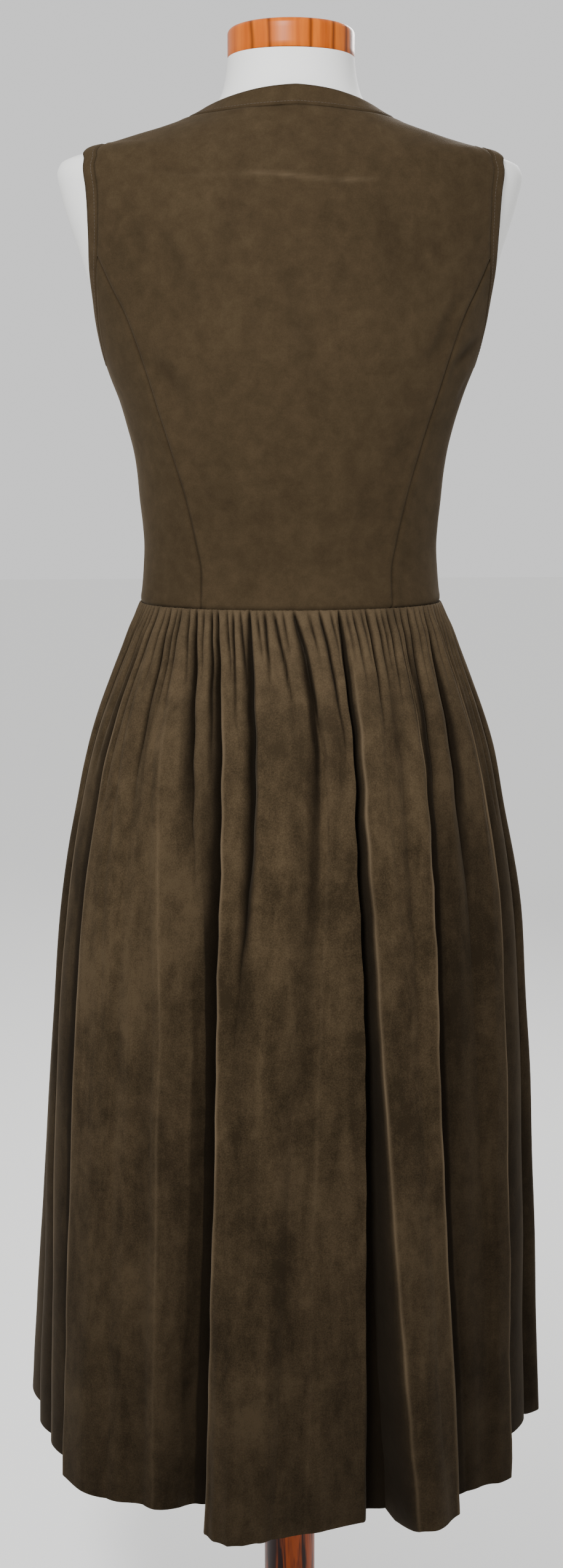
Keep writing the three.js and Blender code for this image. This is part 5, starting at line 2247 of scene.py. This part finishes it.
@dataclass
class Studio:
    """Pale floor, soft light and a camera at the photograph's viewing angle."""

    camera_turn: float = 176.0
    camera_distance: float = 1.55
    camera_height: float = 1.19
    pitch_down: float = 10.46
    aim_left: float = 0.277
    lens: float = 42.39
    sensor_width: float = 36.0
    view_end: float = 60.0
    floor_size: float = 30.0
    floor_colour: Triple = (0.93, 0.93, 0.92)
    floor_roughness: float = 0.9
    sky_colour: tuple[float, float, float, float] = (1, 1, 1, 1)
    sky_strength: float = 0.95
    lamps: tuple[Lamp, ...] = (
        Lamp("upper_left", (0.5, 1.5, 2.05), (0, 0, 1.15), 0.4, 43),
        Lamp("before", (-0.9, -1.8, 2.2), (0, 0, 1.15), 0.7, 38),
    )

    def camera(self) -> None:
        """Places the camera behind the garment."""
        turn = math.radians(self.camera_turn)
        ahead = Vector((-math.sin(turn), math.cos(turn), 0))
        rightward = ahead.cross(Vector((0, 0, 1)))
        aim = (ahead - rightward * math.tan(math.radians(self.aim_left))).normalized()
        pitch = math.radians(self.pitch_down)
        way = aim * math.cos(pitch) - Vector((0, 0, math.sin(pitch)))
        data = bpy.data.cameras.new("camera")
        data.lens = self.lens
        data.sensor_width = self.sensor_width
        data.sensor_fit = "AUTO"
        data.clip_end = self.view_end
        camera = bpy.data.objects.new("camera", data)
        camera.location = Vector((math.sin(turn), -math.cos(turn), 0)) * self.camera_distance
        camera.location.z = self.camera_height
        camera.rotation_mode = "QUATERNION"
        camera.rotation_quaternion = way.to_track_quat("-Z", "Y")
        bpy.context.scene.collection.objects.link(camera)
        bpy.context.scene.camera = camera

    def floor(self) -> None:
        """Lays the pale floor."""
        half = self.floor_size * HALF / METRE
        points = np.array([[-half, -half, 0], [half, -half, 0], [half, half, 0], [-half, half, 0]], float)
        pale = PlainFinish("pale_floor", self.floor_colour, self.floor_roughness).material()
        floor = make_object("floor", points, np.array([[0, 1, 2, 3]]), pale)

    def build(self) -> None:
        """Sets up the floor, the light and the camera."""
        self.floor()
        world = bpy.data.worlds.new("studio")
        world.use_nodes = True
        world.node_tree.nodes["Background"].inputs["Color"].default_value = self.sky_colour
        world.node_tree.nodes["Background"].inputs["Strength"].default_value = self.sky_strength
        bpy.context.scene.world = world
        for lamp in self.lamps:
            lamp.build()
        self.camera()


# The cut of each piece, and the hand-over


@dataclass(frozen=True)
class Cut:
    """How a piece was cut: flat width and length in metres, how it is held and its flat area."""

    width: float
    length: float
    held: str
    area: Optional[float] = None


CUTS: dict[str, Cut] = {
    "bodice_back": Cut(0.345, 0.40, "draped", 0.108),
    "side_back_left": Cut(0.085, 0.28, "draped", 0.0192),
    "side_back_right": Cut(0.085, 0.28, "draped", 0.0192),
    "side_front_left": Cut(0.125, 0.28, "draped", 0.0272),
    "side_front_right": Cut(0.125, 0.28, "draped", 0.0272),
    "bodice_front_left": Cut(0.155, 0.39, "draped", 0.0396),
    "bodice_front_right": Cut(0.155, 0.39, "draped", 0.0396),
    "neck_band": Cut(0.66, 0.018, "draped"),
    "armhole_band_left": Cut(0.46, 0.011, "draped"),
    "armhole_band_right": Cut(0.46, 0.011, "draped"),
    "skirt_back": Cut(0.80, 0.73, "gathered", 0.51),
    "skirt_front": Cut(0.80, 0.73, "gathered", 0.51),
}


def hand_over(pieces: Sequence[Piece], trims: Sequence[tuple[Piece, str]]) -> None:
    """Parents each piece and stitch row to the root, hides the imported part that each piece stands for, and
    logs the cloth area of each cut piece.

    Args:
        pieces: Pieces named after their nodes.
        trims: Stitch rows and the pieces they lie on.
    """
    for piece in pieces:
        name = node_of(piece)
        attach(piece, "root")
        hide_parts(name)
    for row, _ in trims:
        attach(row, "root")
    for piece in pieces:
        name = node_of(piece)
        if name in CUTS:
            log.info("%s: %.4f m2 of cloth", name, area_of(piece))


def main() -> None:
    """Builds the dirndl, its form and stand, and the studio."""
    cloth = SuedeFinish().material()
    thread = PlainFinish("sewing_thread", (0.045, 0.030, 0.017), 0.7).material()
    shell = PlainFinish("form_shell", (0.74, 0.74, 0.725), 0.7).material()
    cap_wood = WoodFinish("cap_wood", (0.50, 0.112, 0.004), (0.34, 0.064, 0.002), streak=(0.06, 0.011, 0.001),
                          streaks=(33, 20, -12, -30, -41, -46)).material()
    pole_wood = WoodFinish("pole_wood", (0.235, 0.040, 0.003), (0.012, 0.0016, 0.0004), across_scale=110.0,
                           spread=0.07).material()
    base_wood = WoodFinish("base_wood", (0.130, 0.022, 0.003), (0.020, 0.0028, 0.0006), across_scale=90.0,
                           spread=0.12, stretch=(0.05, 1.0, 1.0)).material()
    body = BodyShape()
    bodice = Bodice(body, cloth, thread)
    skirt = Skirt(cloth)
    form = DressForm(body, shell, cap_wood)
    stand = Stand(pole_wood, base_wood)
    pieces: list[Piece] = []
    for group in (bodice, skirt, form, stand):
        made = group.build()
        for piece in made:
            log.info("%s: %d faces", piece.name, len(piece.data.polygons))
        pieces += made
    trims = bodice.sewing()
    for row, on in trims:
        log.info("%s on %s: %d faces", row.name, on, len(row.data.polygons))
    hand_over(pieces, trims)
    Studio().build()


if __name__ == "__main__":
    main()
